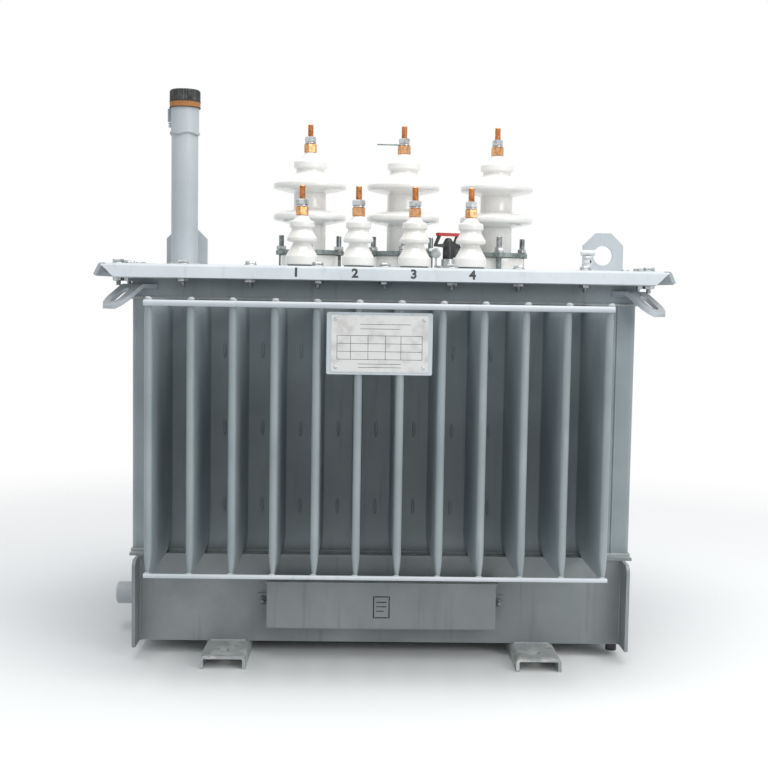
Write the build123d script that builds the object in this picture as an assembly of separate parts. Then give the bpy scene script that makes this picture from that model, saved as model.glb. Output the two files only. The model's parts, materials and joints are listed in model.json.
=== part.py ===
from build123d import *
from math import cos, hypot, radians, sin, tan
import os

# Oil-filled three-phase distribution transformer with flat cooling fins.
# Millimetres. X runs along the tank, Y from the front to the back, Z up from the ground.
# The origin is on the ground under the middle of the tank. The front faces -Y.

# Skids: channels with the web up, which run from front to back
SKID_GAUGE = 550.0
SKID_LENGTH = 625.0
SKID_WIDTH = 79.0
SKID_HEIGHT = 23.5
SKID_PLATE = 5.5
SKID_BEND = 8.0
SKID_HOLE_R = 8.0
SKID_HOLE_SPACING = 550.0

# Tray: the lower box that the tank stands on, shorter and deeper than the tank
TRAY_END_INSET = 12.0
TRAY_STEP = 20.0
TRAY_HEIGHT = 160.0
TRAY_WALL = 5.0
TRAY_END = 6.0
TRAY_FLOOR = 5.0
TRAY_END_REACH = 50.0
TRAY_END_CORNER = 14.0
LEDGE_LIP = 6.0
LEDGE_INSIDE = 6.0

# Tank
TANK_LENGTH = 904.0
TANK_DEPTH = 390.0
TANK_HEIGHT = 456.5
TANK_WALL = 4.0
END_RETURN = 33.0
END_BEND = 8.0

# Fins and the rods that tie their noses
FIN_PITCH = 68.2
FIN_DEPTH = 215.0
FIN_THICKNESS = 13.4
NOSE_ROUNDNESS = 0.97
FIN_PINCH = 3.2
FIN_PINCH_LENGTH = 44.0
FIN_SHIFT = -13.0
FIN_GAP_BELOW = 1.0
FIN_GAP_ABOVE = 4.0
ROD_R = 5.0
ROD_INSET = 2.5
ROD_OVERHANG = 6.5
ROD_GAP = 0.2

# Rim frame of angle bars, and the gasket on it
RIM_REACH = 40.0
RIM_LEG = 50.0
RIM_FLANGE = 8.0
RIM_WEB = 6.0
RIM_ROOT = 6.0
RIM_TOE = 3.0
MITRE_GAP = 0.6
GASKET_HEIGHT = 5.0
GASKET_INSET = 2.0

# Lid with splayed edges and open corners
LID_END_FOLD = 50.0
LID_FACE_FOLD = 46.5
LID_PLATE = 5.0
LONG_LIP = {"drop": 24.0, "splay": 9.5, "end_cut": 27.0}
SHORT_LIP = {"drop": 20.0, "splay": 14.5, "end_cut": 22.5}
LIP_BEND = 3.0
LIP_ROOT = 12.0

# Lifting lugs on the lid
LUG_WIDTH = 78.0
LUG_HEIGHT = 77.0
LUG_PLATE = 10.0
LUG_CHAMFER = 24.0
LUG_HOLE_R = 19.0
LUG_HOLE_HEIGHT = 33.5
LUGS_FROM_END = {"left": 71.0, "right": 25.0}

# Lashing eyes at the tank's upper corners: tongues bent down along the diagonal
EYE_WIDTH = 64.0
EYE_PLATE = 7.0
EYE_LENGTH = 66.0
EYE_SLOPE = 36.0
EYE_END_R = 28.0
EYE_DROP = 26.0
EYE_BEND = 4.0
EYE_SLOT_LENGTH = 40.0
EYE_SLOT_WIDTH = 22.0
EYE_SLOT_PLACE = 33.0

# Bushings: places on the lid
HV_SPACING = 189.0
HV_SHIFT = 40.0
HV_FROM_BACK = 85.0
LV_SPACING = 103.0
LV_SHIFT = 1.5
LV_FROM_FRONT = 55.0
STUD_R = 6.0
STUD_CLEARANCE = 0.3
STUD_DEPTH = 26.0

# High-voltage bushing: radii and heights above the lid
HV_GASKET = 4.0
HV_GASKET_INSET = 1.5
HV_BASE_R = 58.0
HV_BASE_EDGE = 3.0
HV_SHOULDER = 29.5
HV_CORE_R = 32.5
HV_SHED_R = 73.5
HV_SHED_HEIGHTS = (104.0, 167.0)
HV_SHED_OVERS = (14.0, 26.0)
HV_SHED_UNDER = 13.0
HV_SHED_SHOULDER = (24.0, 11.5)
HV_SHED_EDGE = 9.0
HV_SHED_HOLLOW = 20.0
SHED_ROUNDNESS = 0.95
HV_NECK_R = 28.0
HV_COLLAR_R = 33.5
HV_COLLAR = (201.0, 217.0)
HV_COLLAR_EDGES = (2.0, 5.0)
HV_BROW_R = 20.0
HV_BROW = 220.0
HV_TIP_R = 14.0
HV_TOP = 233.5
HV_NUT_ACROSS = 22.5
HV_NUT_HEIGHT = 18.5
HV_STUD_TOP = 290.0

# Clamp ring of the high-voltage bushing, held by three studs
CLAMP_HEIGHT = 8.5
CLAMP_RING_REACH = 6.0
CLAMP_BORE_GAP = 2.0
CLAMP_STUD_GAP = 5.0
CLAMP_EAR_R = 11.0
CLAMP_STUD_R = 5.0
CLAMP_STUD_RISE = 31.0
CLAMP_STUDS = 3

# Low-voltage bushing: radii and heights above the lid
LV_GASKET = 8.0
LV_GASKET_INSET = 2.5
LV_BASE_R = 28.0
LV_EDGE = 2.0
LV_BASE_TOP = 18.0
LV_WAIST_R = 16.3
LV_WAIST = (41.5, 46.0)
LV_SKIRT_R = 26.6
LV_SKIRT_EDGE = 4.5
LV_SKIRT_TOP_R = 18.0
LV_SKIRT_TOP = 62.5
LV_COLLAR_R = 22.3
LV_COLLAR = (67.0, 82.0)
LV_COLLAR_EDGES = (1.5, 4.0)
LV_BROW_R = 15.5
LV_BROW = 84.0
LV_TIP_R = 11.5
LV_TOP = 93.0
LV_NUT_ACROSS = 20.5
LV_NUT_HEIGHT = 19.0
LV_STUD_TOP = 148.0

# Filler pipe, its ring and its cap
PIPE_R = 25.0
PIPE_WALL = 3.0
PIPE_HEIGHT = 305.0
PIPE_FROM_END = 74.0
PIPE_ROW = -60.0
RING_REACH = 3.6
RING_HEIGHT = 11.0
RING_CLEARANCE = 0.2
CAP_REACH = 3.6
CAP_HEIGHT = 22.0
CAP_EDGE = 2.5

# Tap changer: flange, neck and spindle, and a handle that turns on the spindle
TAP_PLACE = 125.0
TAP_FLANGE_R = 22.0
TAP_FLANGE = 6.0
TAP_NECK_R = 13.0
TAP_NECK = 22.0
TAP_SPINDLE_R = 5.0
TAP_SPINDLE = 42.0
TAP_CLEARANCE = 0.3
HANDLE_HUB_R = 10.0
HANDLE_TOP = 66.5
HANDLE_TOP_WIDTH = 46.0
HANDLE_FOOT_WIDTH = 30.0
HANDLE_FOOT = 36.0
HANDLE_PLATE = 9.0
HANDLE_TURN = 22.0
BAR_LENGTH = 50.0
BAR_WIDTH = 13.0
BAR_HEIGHT = 6.0
BAR_CORNER = 3.0

# Name plate carrier on the noses of two neighbouring fins
CARRIER_WIDTH = 172.0
CARRIER_HEIGHT = 101.0
CARRIER_PLATE = 2.0
CARRIER_BELOW_FIN_TOP = 13.0
CARRIER_CORNER = 3.0

# Document box on the tray's front
BOX_WIDTH = 406.0
BOX_HEIGHT = 82.0
BOX_DEPTH = 45.0
BOX_ABOVE_FLOOR = 35.0
BOX_SHEET = 2.5
BOX_EDGE = 3.0
BOX_HEM = 3.0
TAB_WIDTH = 19.0
TAB_HEIGHT = 25.0
TAB_PLATE = 3.0

# Drains and the thermometer pocket
SIDE_DRAIN_R = 21.0
SIDE_DRAIN_LENGTH = 64.0
SIDE_DRAIN_ROW = -60.0
SIDE_DRAIN_ABOVE_FLOOR = 48.5
SIDE_DRAIN_EDGE = 4.0
SIDE_DRAIN_COLLAR_R = 25.0
SIDE_DRAIN_COLLAR = 3.0
SIDE_DRAIN_WELD = 1.0
PLUG_FROM_END = 16.0
PLUG_FROM_FRONT = 19.0
PLUG_R = 10.0
PLUG_HEIGHT = 15.0
POCKET_FROM_END = 65.0
POCKET_ROW = -60.0
POCKET_BASE_R = 15.0
POCKET_BASE = 8.0
POCKET_R = 8.5
POCKET_CAP_R = 11.0
POCKET_CAP = 9.0
POCKET_HEIGHT = 42.0

# Levels and faces that several pieces share
TRAY_BOTTOM = SKID_HEIGHT
LEDGE_TOP = TRAY_BOTTOM + TRAY_HEIGHT
LEDGE_BOTTOM = LEDGE_TOP - TRAY_WALL
TANK_TOP = LEDGE_TOP + TANK_HEIGHT
RIM_TOP = TANK_TOP + RIM_LEG
LID_BOTTOM = RIM_TOP + GASKET_HEIGHT
LID_TOP = LID_BOTTOM + LID_PLATE
TANK_FACE = TANK_DEPTH / 2
TANK_SIDE = TANK_LENGTH / 2
TRAY_FACE = TANK_FACE + TRAY_STEP
TRAY_SIDE = TANK_SIDE - TRAY_END_INSET
LID_FACE = TANK_FACE + LID_FACE_FOLD
LID_SIDE = TANK_SIDE + LID_END_FOLD
FIN_NOSE = TANK_FACE + FIN_DEPTH
FIN_COUNT = int((TANK_LENGTH - 2 * END_RETURN) / FIN_PITCH)
CLAMP_STUD_CIRCLE_R = HV_BASE_R + CLAMP_STUD_GAP + CLAMP_STUD_R
FIN_BOTTOM = LEDGE_TOP + FIN_GAP_BELOW
FIN_TOP = TANK_TOP - FIN_GAP_ABOVE
HALF_TURN = Rot(0, 0, 180)


def outline(points, radii=0.0):
    """Flat face round a closed loop of points, with a radius for each corner."""
    if not isinstance(radii, list):
        radii = [radii] * len(points)
    return make_face(FilletPolyline(*points, radius=radii, close=True))


def block(x0, x1, y0, y1, z0, z1):
    """Plate or bar between two opposite corners."""
    return Pos((x0 + x1) / 2, (y0 + y1) / 2, (z0 + z1) / 2) * Box(x1 - x0, y1 - y0, z1 - z0)


def along_x(points_yz, radii, half):
    """Profile in Y and Z, drawn out evenly to both sides along X."""
    face = outline([(-half, y, z) for y, z in points_yz], radii)
    return extrude(face, amount=2 * half, dir=(1, 0, 0))


def along_y(points_xz, radii, half):
    """Profile in X and Z, drawn out evenly to both sides along Y."""
    face = outline([(x, -half, z) for x, z in points_xz], radii)
    return extrude(face, amount=2 * half, dir=(0, 1, 0))


def upright(points_xy, radii, low, high):
    """Plan outline raised from one level to another."""
    face = outline([(x, y, low) for x, y in points_xy], radii)
    return extrude(face, amount=high - low, dir=(0, 0, 1))


def turned(points_rz, radii):
    """Profile of radius and height turned about the Z axis."""
    return revolve(outline([(r, 0, z) for r, z in points_rz], radii), axis=Axis.Z)


def disc(radius, low, high):
    """Upright cylinder between two levels."""
    return Pos(0, 0, (low + high) / 2) * Cylinder(radius, high - low)


def group(solids):
    """Like pieces that share one node."""
    return Compound([solid for shape in solids for solid in shape.solids()])


def hv_places():
    """Centres of the high-voltage bushings on the lid."""
    row = TANK_FACE - HV_FROM_BACK
    return [(HV_SHIFT + (i - 1) * HV_SPACING, row, LID_TOP) for i in range(3)]


def lv_places():
    """Centres of the low-voltage bushings on the lid."""
    row = LV_FROM_FRONT - TANK_FACE
    return [(LV_SHIFT + (i - 1.5) * LV_SPACING, row, LID_TOP) for i in range(4)]


def skid():
    """Channel with its web up and a hole near each end."""
    half = SKID_WIDTH / 2
    inner = half - SKID_PLATE
    under = SKID_HEIGHT - SKID_PLATE
    profile = [(-half, 0), (-half, SKID_HEIGHT), (half, SKID_HEIGHT), (half, 0),
               (inner, 0), (inner, under), (-inner, under), (-inner, 0)]
    bend_in = SKID_BEND - SKID_PLATE
    channel = along_y(profile, [0, SKID_BEND, SKID_BEND, 0, 0, bend_in, bend_in, 0], SKID_LENGTH / 2)
    for y in (-SKID_HOLE_SPACING / 2, SKID_HOLE_SPACING / 2):
        channel -= Pos(0, y, 0) * disc(SKID_HOLE_R, 0, 2 * SKID_HEIGHT)
    return channel


def tray_wall():
    """Front wall of the tray, with the ledge that carries the tank's front wall."""
    inner = TRAY_FACE - TRAY_WALL
    half = TRAY_SIDE - TRAY_END
    wall = block(-half, half, -TRAY_FACE, -inner, TRAY_BOTTOM, LEDGE_BOTTOM)
    ledge = block(-TANK_SIDE, TANK_SIDE, -TRAY_FACE - LEDGE_LIP, -TANK_FACE + TANK_WALL + LEDGE_INSIDE,
                  LEDGE_BOTTOM, LEDGE_TOP)
    return wall + ledge


def tray_end():
    """Right end plate, which reaches past the tray's walls, with its ledge."""
    inner = TRAY_SIDE - TRAY_END
    half = TRAY_FACE + TRAY_END_REACH
    profile = [(-half, TRAY_BOTTOM), (half, TRAY_BOTTOM), (half, LEDGE_BOTTOM), (-half, LEDGE_BOTTOM)]
    face = outline([(inner, y, z) for y, z in profile], [0, 0, TRAY_END_CORNER, TRAY_END_CORNER])
    plate = extrude(face, amount=TRAY_END, dir=(1, 0, 0))
    strip = TANK_FACE - TANK_WALL - LEDGE_INSIDE
    ledge = block(inner - LEDGE_INSIDE, TANK_SIDE, -strip, strip, LEDGE_BOTTOM, LEDGE_TOP)
    return plate + ledge


def tray_floor():
    """Floor plate between the tray's walls."""
    half_x = TRAY_SIDE - TRAY_END
    half_y = TRAY_FACE - TRAY_WALL
    return block(-half_x, half_x, -half_y, half_y, TRAY_BOTTOM, TRAY_BOTTOM + TRAY_FLOOR)


def tank_wall():
    """Front wall sheet between the bent end walls."""
    half = TANK_SIDE - END_RETURN
    return block(-half, half, -TANK_FACE, -TANK_FACE + TANK_WALL, LEDGE_TOP, TANK_TOP)


def tank_end():
    """Right end wall, bent round both corners."""
    seam = TANK_SIDE - END_RETURN
    inner_x = TANK_SIDE - TANK_WALL
    inner_y = TANK_FACE - TANK_WALL
    plan = [(seam, -TANK_FACE), (TANK_SIDE, -TANK_FACE), (TANK_SIDE, TANK_FACE), (seam, TANK_FACE),
            (seam, inner_y), (inner_x, inner_y), (inner_x, -inner_y), (seam, -inner_y)]
    bend_in = END_BEND - TANK_WALL
    return upright(plan, [0, END_BEND, END_BEND, 0, 0, bend_in, bend_in, 0], LEDGE_TOP, TANK_TOP)


def fin():
    """Flat pocket with a round nose, whose ends are pinched thin and closed."""
    half = FIN_THICKNESS / 2
    pinch = FIN_PINCH / 2
    round_r = half * NOSE_ROUNDNESS
    plan = [(-half, -TANK_FACE), (-half, -FIN_NOSE), (half, -FIN_NOSE), (half, -TANK_FACE)]
    pocket = upright(plan, [0, round_r, round_r, 0], FIN_BOTTOM, FIN_TOP)
    low = FIN_BOTTOM + FIN_PINCH_LENGTH
    high = FIN_TOP - FIN_PINCH_LENGTH
    pinched = [(-pinch, FIN_BOTTOM), (pinch, FIN_BOTTOM), (half, low), (half, high),
               (pinch, FIN_TOP), (-pinch, FIN_TOP), (-half, high), (-half, low)]
    return pocket & along_y(pinched, 0.0, FIN_NOSE)


def fin_place(index):
    """Place along the tank of one fin."""
    return FIN_SHIFT + (index - (FIN_COUNT - 1) / 2) * FIN_PITCH


def fins():
    """All the fins of the front."""
    pocket = fin()
    return group([Pos(fin_place(i), 0, 0) * pocket for i in range(FIN_COUNT)])


def rods():
    """Round bars across the fins' noses, near their tops and bottoms."""
    low = fin_place(0) - ROD_OVERHANG
    high = fin_place(FIN_COUNT - 1) + ROD_OVERHANG
    y = -FIN_NOSE - ROD_R - ROD_GAP
    rod = Pos((low + high) / 2, y, 0) * Rot(0, 90, 0) * Cylinder(ROD_R, high - low)
    return group([Pos(0, 0, FIN_BOTTOM + ROD_INSET) * rod, Pos(0, 0, FIN_TOP - ROD_INSET) * rod])


def mitred(bar, outer_x, outer_y, depth, low, high):
    """Front bar of a frame, cut at 45 degrees at both ends with room for the weld."""
    end = outer_x - MITRE_GAP
    plan = [(-end, -outer_y), (end, -outer_y), (end - depth, depth - outer_y), (depth - end, depth - outer_y)]
    return bar & upright(plan, 0.0, low, high)


def frame_bars(front, side):
    """Four bars of a frame from its front bar and its right bar."""
    return group([front, HALF_TURN * front, side, HALF_TURN * side])


def rim_bar(face, half, cross):
    """Angle bar along X whose upright leg stands on the wall at the given face."""
    web = -face + RIM_WEB
    flange = RIM_TOP - RIM_FLANGE
    profile = [(web, TANK_TOP), (-face, TANK_TOP), (-face, flange), (-face - RIM_REACH, flange),
               (-face - RIM_REACH, RIM_TOP), (web, RIM_TOP)]
    bar = along_x(profile, [0, 0, RIM_ROOT, RIM_TOE, 0, 0], half)
    return mitred(bar, half, cross, RIM_REACH + RIM_WEB, TANK_TOP, RIM_TOP)


def rim_frame():
    """Angle bars round the tank's mouth, mitred at the corners."""
    half_x = TANK_SIDE + RIM_REACH
    half_y = TANK_FACE + RIM_REACH
    front = rim_bar(TANK_FACE, half_x, half_y)
    side = Rot(0, 0, 90) * rim_bar(TANK_SIDE, half_y, half_x)
    return frame_bars(front, side)


def lid_gasket():
    """Four strips between the rim and the lid."""
    half_x = TANK_SIDE + RIM_REACH - GASKET_INSET
    half_y = TANK_FACE + RIM_REACH - GASKET_INSET
    width = RIM_REACH + RIM_WEB - 2 * GASKET_INSET

    def strip(half, cross):
        bar = block(-half, half, -cross, width - cross, RIM_TOP, LID_BOTTOM)
        return mitred(bar, half, cross, width, RIM_TOP, LID_BOTTOM)

    return frame_bars(strip(half_x, half_y), Rot(0, 0, 90) * strip(half_y, half_x))


def lip(fold, half, drop, splay, end_cut):
    """Folded edge along X with the strip of plate beside it, its ends cut at a slant for open corners."""
    root = fold - LIP_ROOT
    face = fold + splay
    length = hypot(splay, drop)
    tip_y = face - LID_PLATE * drop / length
    tip_z = LID_TOP - drop - LID_PLATE * splay / length
    inner_fold = tip_y - (LID_BOTTOM - tip_z) * splay / drop
    profile = [(root, LID_TOP), (fold, LID_TOP), (face, LID_TOP - drop), (tip_y, tip_z),
               (inner_fold, LID_BOTTOM), (root, LID_BOTTOM)]
    bar = along_x(profile, [0, LIP_BEND + LID_PLATE, 0, 0, LIP_BEND, 0], half)
    below = drop + LID_PLATE
    end = half - end_cut * below / drop
    trim = [(-half, LID_TOP), (half, LID_TOP), (end, LID_TOP - below), (-end, LID_TOP - below)]
    return bar & along_y(trim, 0.0, face)


def lid():
    """Lid plate with four folded edges and open corners."""
    long_lip = lip(LID_FACE, LID_SIDE, **LONG_LIP)
    short_lip = Rot(0, 0, 90) * lip(LID_SIDE, LID_FACE, **SHORT_LIP)
    root_x = LID_SIDE - LIP_ROOT
    root_y = LID_FACE - LIP_ROOT
    plate = block(-root_x, root_x, -root_y, root_y, LID_BOTTOM, LID_TOP)
    return plate + long_lip + HALF_TURN * long_lip + short_lip + HALF_TURN * short_lip


def lifting_lug():
    """Upright plate with chamfered shoulders and a round hole."""
    half = LUG_WIDTH / 2
    shoulder = LUG_HEIGHT - LUG_CHAMFER
    profile = [(-half, 0), (half, 0), (half, shoulder), (half - LUG_CHAMFER, LUG_HEIGHT),
               (LUG_CHAMFER - half, LUG_HEIGHT), (-half, shoulder)]
    plate = along_y(profile, 0.0, LUG_PLATE / 2)
    return plate - Pos(0, 0, LUG_HOLE_HEIGHT) * Rot(90, 0, 0) * Cylinder(LUG_HOLE_R, 2 * LUG_PLATE)


def lashing_eye():
    """Tongue at the front right corner, bent down along the diagonal, with a slot."""
    slope = radians(EYE_SLOPE)
    root = -EYE_WIDTH / 2
    end_u = EYE_LENGTH * cos(slope)
    end_z = -EYE_LENGTH * sin(slope)
    under_u = end_u - EYE_PLATE * sin(slope)
    under_z = end_z - EYE_PLATE * cos(slope)
    profile = [(root, 0), (0, 0), (end_u, end_z), (under_u, under_z),
               (-EYE_PLATE * tan(slope / 2), -EYE_PLATE), (root, -EYE_PLATE)]
    half = EYE_WIDTH / 2
    bent = along_y(profile, [0, EYE_BEND + EYE_PLATE, 0, 0, EYE_BEND, 0], half)
    plan = [(root, -half), (end_u, -half), (end_u, half), (root, half)]
    tongue = bent & upright(plan, [0, EYE_END_R, EYE_END_R, 0], -EYE_LENGTH, EYE_PLATE)
    place = (EYE_SLOT_PLACE * cos(slope), 0, -EYE_SLOT_PLACE * sin(slope))
    across = Plane(origin=place, x_dir=(cos(slope), 0, -sin(slope)), z_dir=(sin(slope), 0, cos(slope)))
    slot = extrude(across * SlotOverall(EYE_SLOT_LENGTH, EYE_SLOT_WIDTH), amount=2 * EYE_PLATE, both=True)
    level = RIM_TOP - EYE_DROP
    placed = Pos(TANK_SIDE, -TANK_FACE, level) * Rot(0, 0, -45) * (tongue - slot)
    return placed - block(-TANK_SIDE, TANK_SIDE, -TANK_FACE, TANK_FACE, level - EYE_LENGTH, RIM_TOP)


def eye_pair():
    """Eyes at both front corners."""
    right = lashing_eye()
    return group([right, mirror(right, about=Plane.YZ)])


def hv_insulator():
    """Porcelain with a wide foot, two sheds and a collar, bored for its stud."""
    points = [(0, HV_GASKET), (HV_BASE_R, HV_GASKET), (HV_BASE_R, HV_SHOULDER), (HV_CORE_R, HV_SHOULDER)]
    radii = [0, HV_BASE_EDGE, HV_BASE_EDGE, 0]
    core = HV_CORE_R
    edge = HV_SHED_EDGE / 2
    shoulder, rise = HV_SHED_SHOULDER
    for shed, over, above in zip(HV_SHED_HEIGHTS, HV_SHED_OVERS, (HV_CORE_R, HV_NECK_R)):
        points += [(core, shed - HV_SHED_UNDER), (HV_SHED_R, shed - edge), (HV_SHED_R, shed + edge),
                   (above + shoulder, shed + rise), (above, shed + over)]
        radii += [0, edge * SHED_ROUNDNESS, edge * SHED_ROUNDNESS, HV_SHED_HOLLOW, 0]
        core = above
    low, high = HV_COLLAR
    points += [(HV_NECK_R, low), (HV_COLLAR_R, low), (HV_COLLAR_R, high), (HV_BROW_R, HV_BROW),
               (HV_TIP_R, HV_TOP), (0, HV_TOP)]
    radii += [0, *HV_COLLAR_EDGES, 0, 0, 0]
    return turned(points, radii) - stud_bore(HV_TOP)


def lv_insulator():
    """Porcelain with a conical foot, a skirt and a collar, bored for its stud."""
    waist_low, waist_high = LV_WAIST
    low, high = LV_COLLAR
    points = [(0, LV_GASKET), (LV_BASE_R, LV_GASKET), (LV_BASE_R, LV_BASE_TOP),
              (LV_WAIST_R, waist_low), (LV_WAIST_R, waist_high), (LV_SKIRT_R, waist_high),
              (LV_SKIRT_R, waist_high + LV_SKIRT_EDGE), (LV_SKIRT_TOP_R, LV_SKIRT_TOP),
              (LV_SKIRT_TOP_R, low), (LV_COLLAR_R, low), (LV_COLLAR_R, high),
              (LV_BROW_R, LV_BROW), (LV_TIP_R, LV_TOP), (0, LV_TOP)]
    radii = [0, LV_EDGE, LV_EDGE, 0, 0, LV_EDGE, LV_EDGE, 0, 0, *LV_COLLAR_EDGES, 0, 0, 0]
    return turned(points, radii) - stud_bore(LV_TOP)


def stud_bore(top):
    """Hole down from the tip of an insulator, with running room round the stud."""
    return disc(STUD_R + STUD_CLEARANCE, top - STUD_DEPTH - STUD_CLEARANCE, top + STUD_DEPTH)


def terminal(seat, across, height, top):
    """Stud with its hexagon nut, which rests on the insulator's tip."""
    nut = extrude(Pos(0, 0, seat) * RegularPolygon(across / 2, 6, major_radius=False), amount=height)
    return disc(STUD_R, seat - STUD_DEPTH, top) + nut


def clamp():
    """Ring on the insulator's shoulder with three ears and their studs."""
    top = HV_SHOULDER + CLAMP_HEIGHT
    ring = disc(HV_BASE_R + CLAMP_RING_REACH, HV_SHOULDER, top)
    for i in range(CLAMP_STUDS):
        around = Rot(0, 0, 360 / CLAMP_STUDS * i - 90)
        ring += around * Pos(CLAMP_STUD_CIRCLE_R, 0, 0) * disc(CLAMP_EAR_R, HV_SHOULDER, top)
        ring += around * Pos(CLAMP_STUD_CIRCLE_R, 0, 0) * disc(CLAMP_STUD_R, 0, top + CLAMP_STUD_RISE)
    return ring - disc(HV_CORE_R + CLAMP_BORE_GAP, HV_SHOULDER, top)


def bushing_gaskets():
    """Rubber discs under all the insulators."""
    hv = [Pos(*place) * disc(HV_BASE_R - HV_GASKET_INSET, 0, HV_GASKET) for place in hv_places()]
    lv = [Pos(*place) * disc(LV_BASE_R - LV_GASKET_INSET, 0, LV_GASKET) for place in lv_places()]
    return group(hv + lv)


def filler_pipe():
    """Open tube on the lid."""
    return disc(PIPE_R, 0, PIPE_HEIGHT) - disc(PIPE_R - PIPE_WALL, 0, PIPE_HEIGHT)


def filler_ring():
    """Ring round the pipe's mouth."""
    low = PIPE_HEIGHT - RING_HEIGHT
    return disc(PIPE_R + RING_REACH, low, PIPE_HEIGHT) - disc(PIPE_R + RING_CLEARANCE, low, PIPE_HEIGHT)


def filler_cap():
    """Cap on the pipe's mouth, with a rounded upper edge."""
    top = PIPE_HEIGHT + CAP_HEIGHT
    outer = PIPE_R + CAP_REACH
    return turned([(0, PIPE_HEIGHT), (outer, PIPE_HEIGHT), (outer, top), (0, top)], [0, 0, CAP_EDGE, 0])


def tap_changer_base():
    """Flange, neck and spindle."""
    flange = disc(TAP_FLANGE_R, 0, TAP_FLANGE)
    return flange + disc(TAP_NECK_R, 0, TAP_NECK) + disc(TAP_SPINDLE_R, 0, TAP_SPINDLE)


def tap_handle():
    """Hub on the spindle with a flat grip that widens upwards."""
    foot = TAP_NECK + TAP_CLEARANCE
    half_top = HANDLE_TOP_WIDTH / 2
    half_foot = HANDLE_FOOT_WIDTH / 2
    grip = along_y([(-half_foot, HANDLE_FOOT), (half_foot, HANDLE_FOOT), (half_top, HANDLE_TOP),
                    (-half_top, HANDLE_TOP)], 0.0, HANDLE_PLATE / 2)
    bore = disc(TAP_SPINDLE_R + TAP_CLEARANCE, foot, TAP_SPINDLE + TAP_CLEARANCE)
    return Rot(0, 0, HANDLE_TURN) * (grip + disc(HANDLE_HUB_R, foot, HANDLE_TOP) - bore)


def tap_handle_bar():
    """Bar across the top of the handle."""
    bar = Pos(0, 0, HANDLE_TOP) * RectangleRounded(BAR_LENGTH, BAR_WIDTH, BAR_CORNER)
    return Rot(0, 0, HANDLE_TURN) * extrude(bar, amount=BAR_HEIGHT)


def nameplate_carrier():
    """Plate across the noses of two neighbouring fins."""
    left_fin = (FIN_COUNT - 1) // 2
    middle = (fin_place(left_fin) + fin_place(left_fin + 1)) / 2
    high = FIN_TOP - CARRIER_BELOW_FIN_TOP
    half = CARRIER_WIDTH / 2
    low = high - CARRIER_HEIGHT
    profile = [(middle - half, low), (middle + half, low), (middle + half, high), (middle - half, high)]
    face = outline([(x, -FIN_NOSE, z) for x, z in profile], CARRIER_CORNER)
    return extrude(face, amount=CARRIER_PLATE, dir=(0, -1, 0))


def document_box():
    """Sheet box on the tray, open to the wall behind it, with a hem and two fixing tabs."""
    low = TRAY_BOTTOM + BOX_ABOVE_FLOOR
    high = low + BOX_HEIGHT
    half = BOX_WIDTH / 2
    front = -TRAY_FACE - BOX_DEPTH
    shell = along_x([(-TRAY_FACE, low), (front, low), (front, high), (-TRAY_FACE, high)],
                    [0, BOX_EDGE, 0, 0], half)
    shell -= block(-half + BOX_SHEET, half - BOX_SHEET, front + BOX_SHEET, -TRAY_FACE,
                   low + BOX_SHEET, high - BOX_SHEET)
    hem = block(-half - BOX_HEM, half + BOX_HEM, front - BOX_HEM, -TRAY_FACE, high, high + BOX_SHEET)
    middle = (low + high) / 2
    tab = block(half, half + TAB_WIDTH, -TRAY_FACE - TAB_PLATE, -TRAY_FACE,
                middle - TAB_HEIGHT / 2, middle + TAB_HEIGHT / 2)
    return shell + hem + tab + mirror(tab, about=Plane.YZ)


def side_drain():
    """Stub with a welded collar on the left end plate."""
    weld = SIDE_DRAIN_WELD
    stub = turned([(0, 0), (SIDE_DRAIN_COLLAR_R, 0), (SIDE_DRAIN_COLLAR_R, SIDE_DRAIN_COLLAR),
                   (SIDE_DRAIN_R, SIDE_DRAIN_COLLAR), (SIDE_DRAIN_R, SIDE_DRAIN_LENGTH),
                   (0, SIDE_DRAIN_LENGTH)], [0, 0, weld, weld, SIDE_DRAIN_EDGE, 0])
    level = TRAY_BOTTOM + SIDE_DRAIN_ABOVE_FLOOR
    return Pos(-TRAY_SIDE, SIDE_DRAIN_ROW, level) * Rot(0, -90, 0) * stub


def bottom_drain():
    """Plug under the floor near the front right corner."""
    place = Pos(TRAY_SIDE - PLUG_FROM_END, PLUG_FROM_FRONT - TRAY_FACE, 0)
    return place * disc(PLUG_R, TRAY_BOTTOM - PLUG_HEIGHT, TRAY_BOTTOM)


def thermometer_pocket():
    """Hexagon base, tube and round cap."""
    base = extrude(RegularPolygon(POCKET_BASE_R, 6), amount=POCKET_BASE)
    tube = disc(POCKET_R, 0, POCKET_HEIGHT)
    return base + tube + disc(POCKET_CAP_R, POCKET_HEIGHT - POCKET_CAP, POCKET_HEIGHT)


def on_lid(x, y, shape):
    """Piece set on the lid at a place in plan."""
    return Pos(x, y, LID_TOP) * shape


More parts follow.
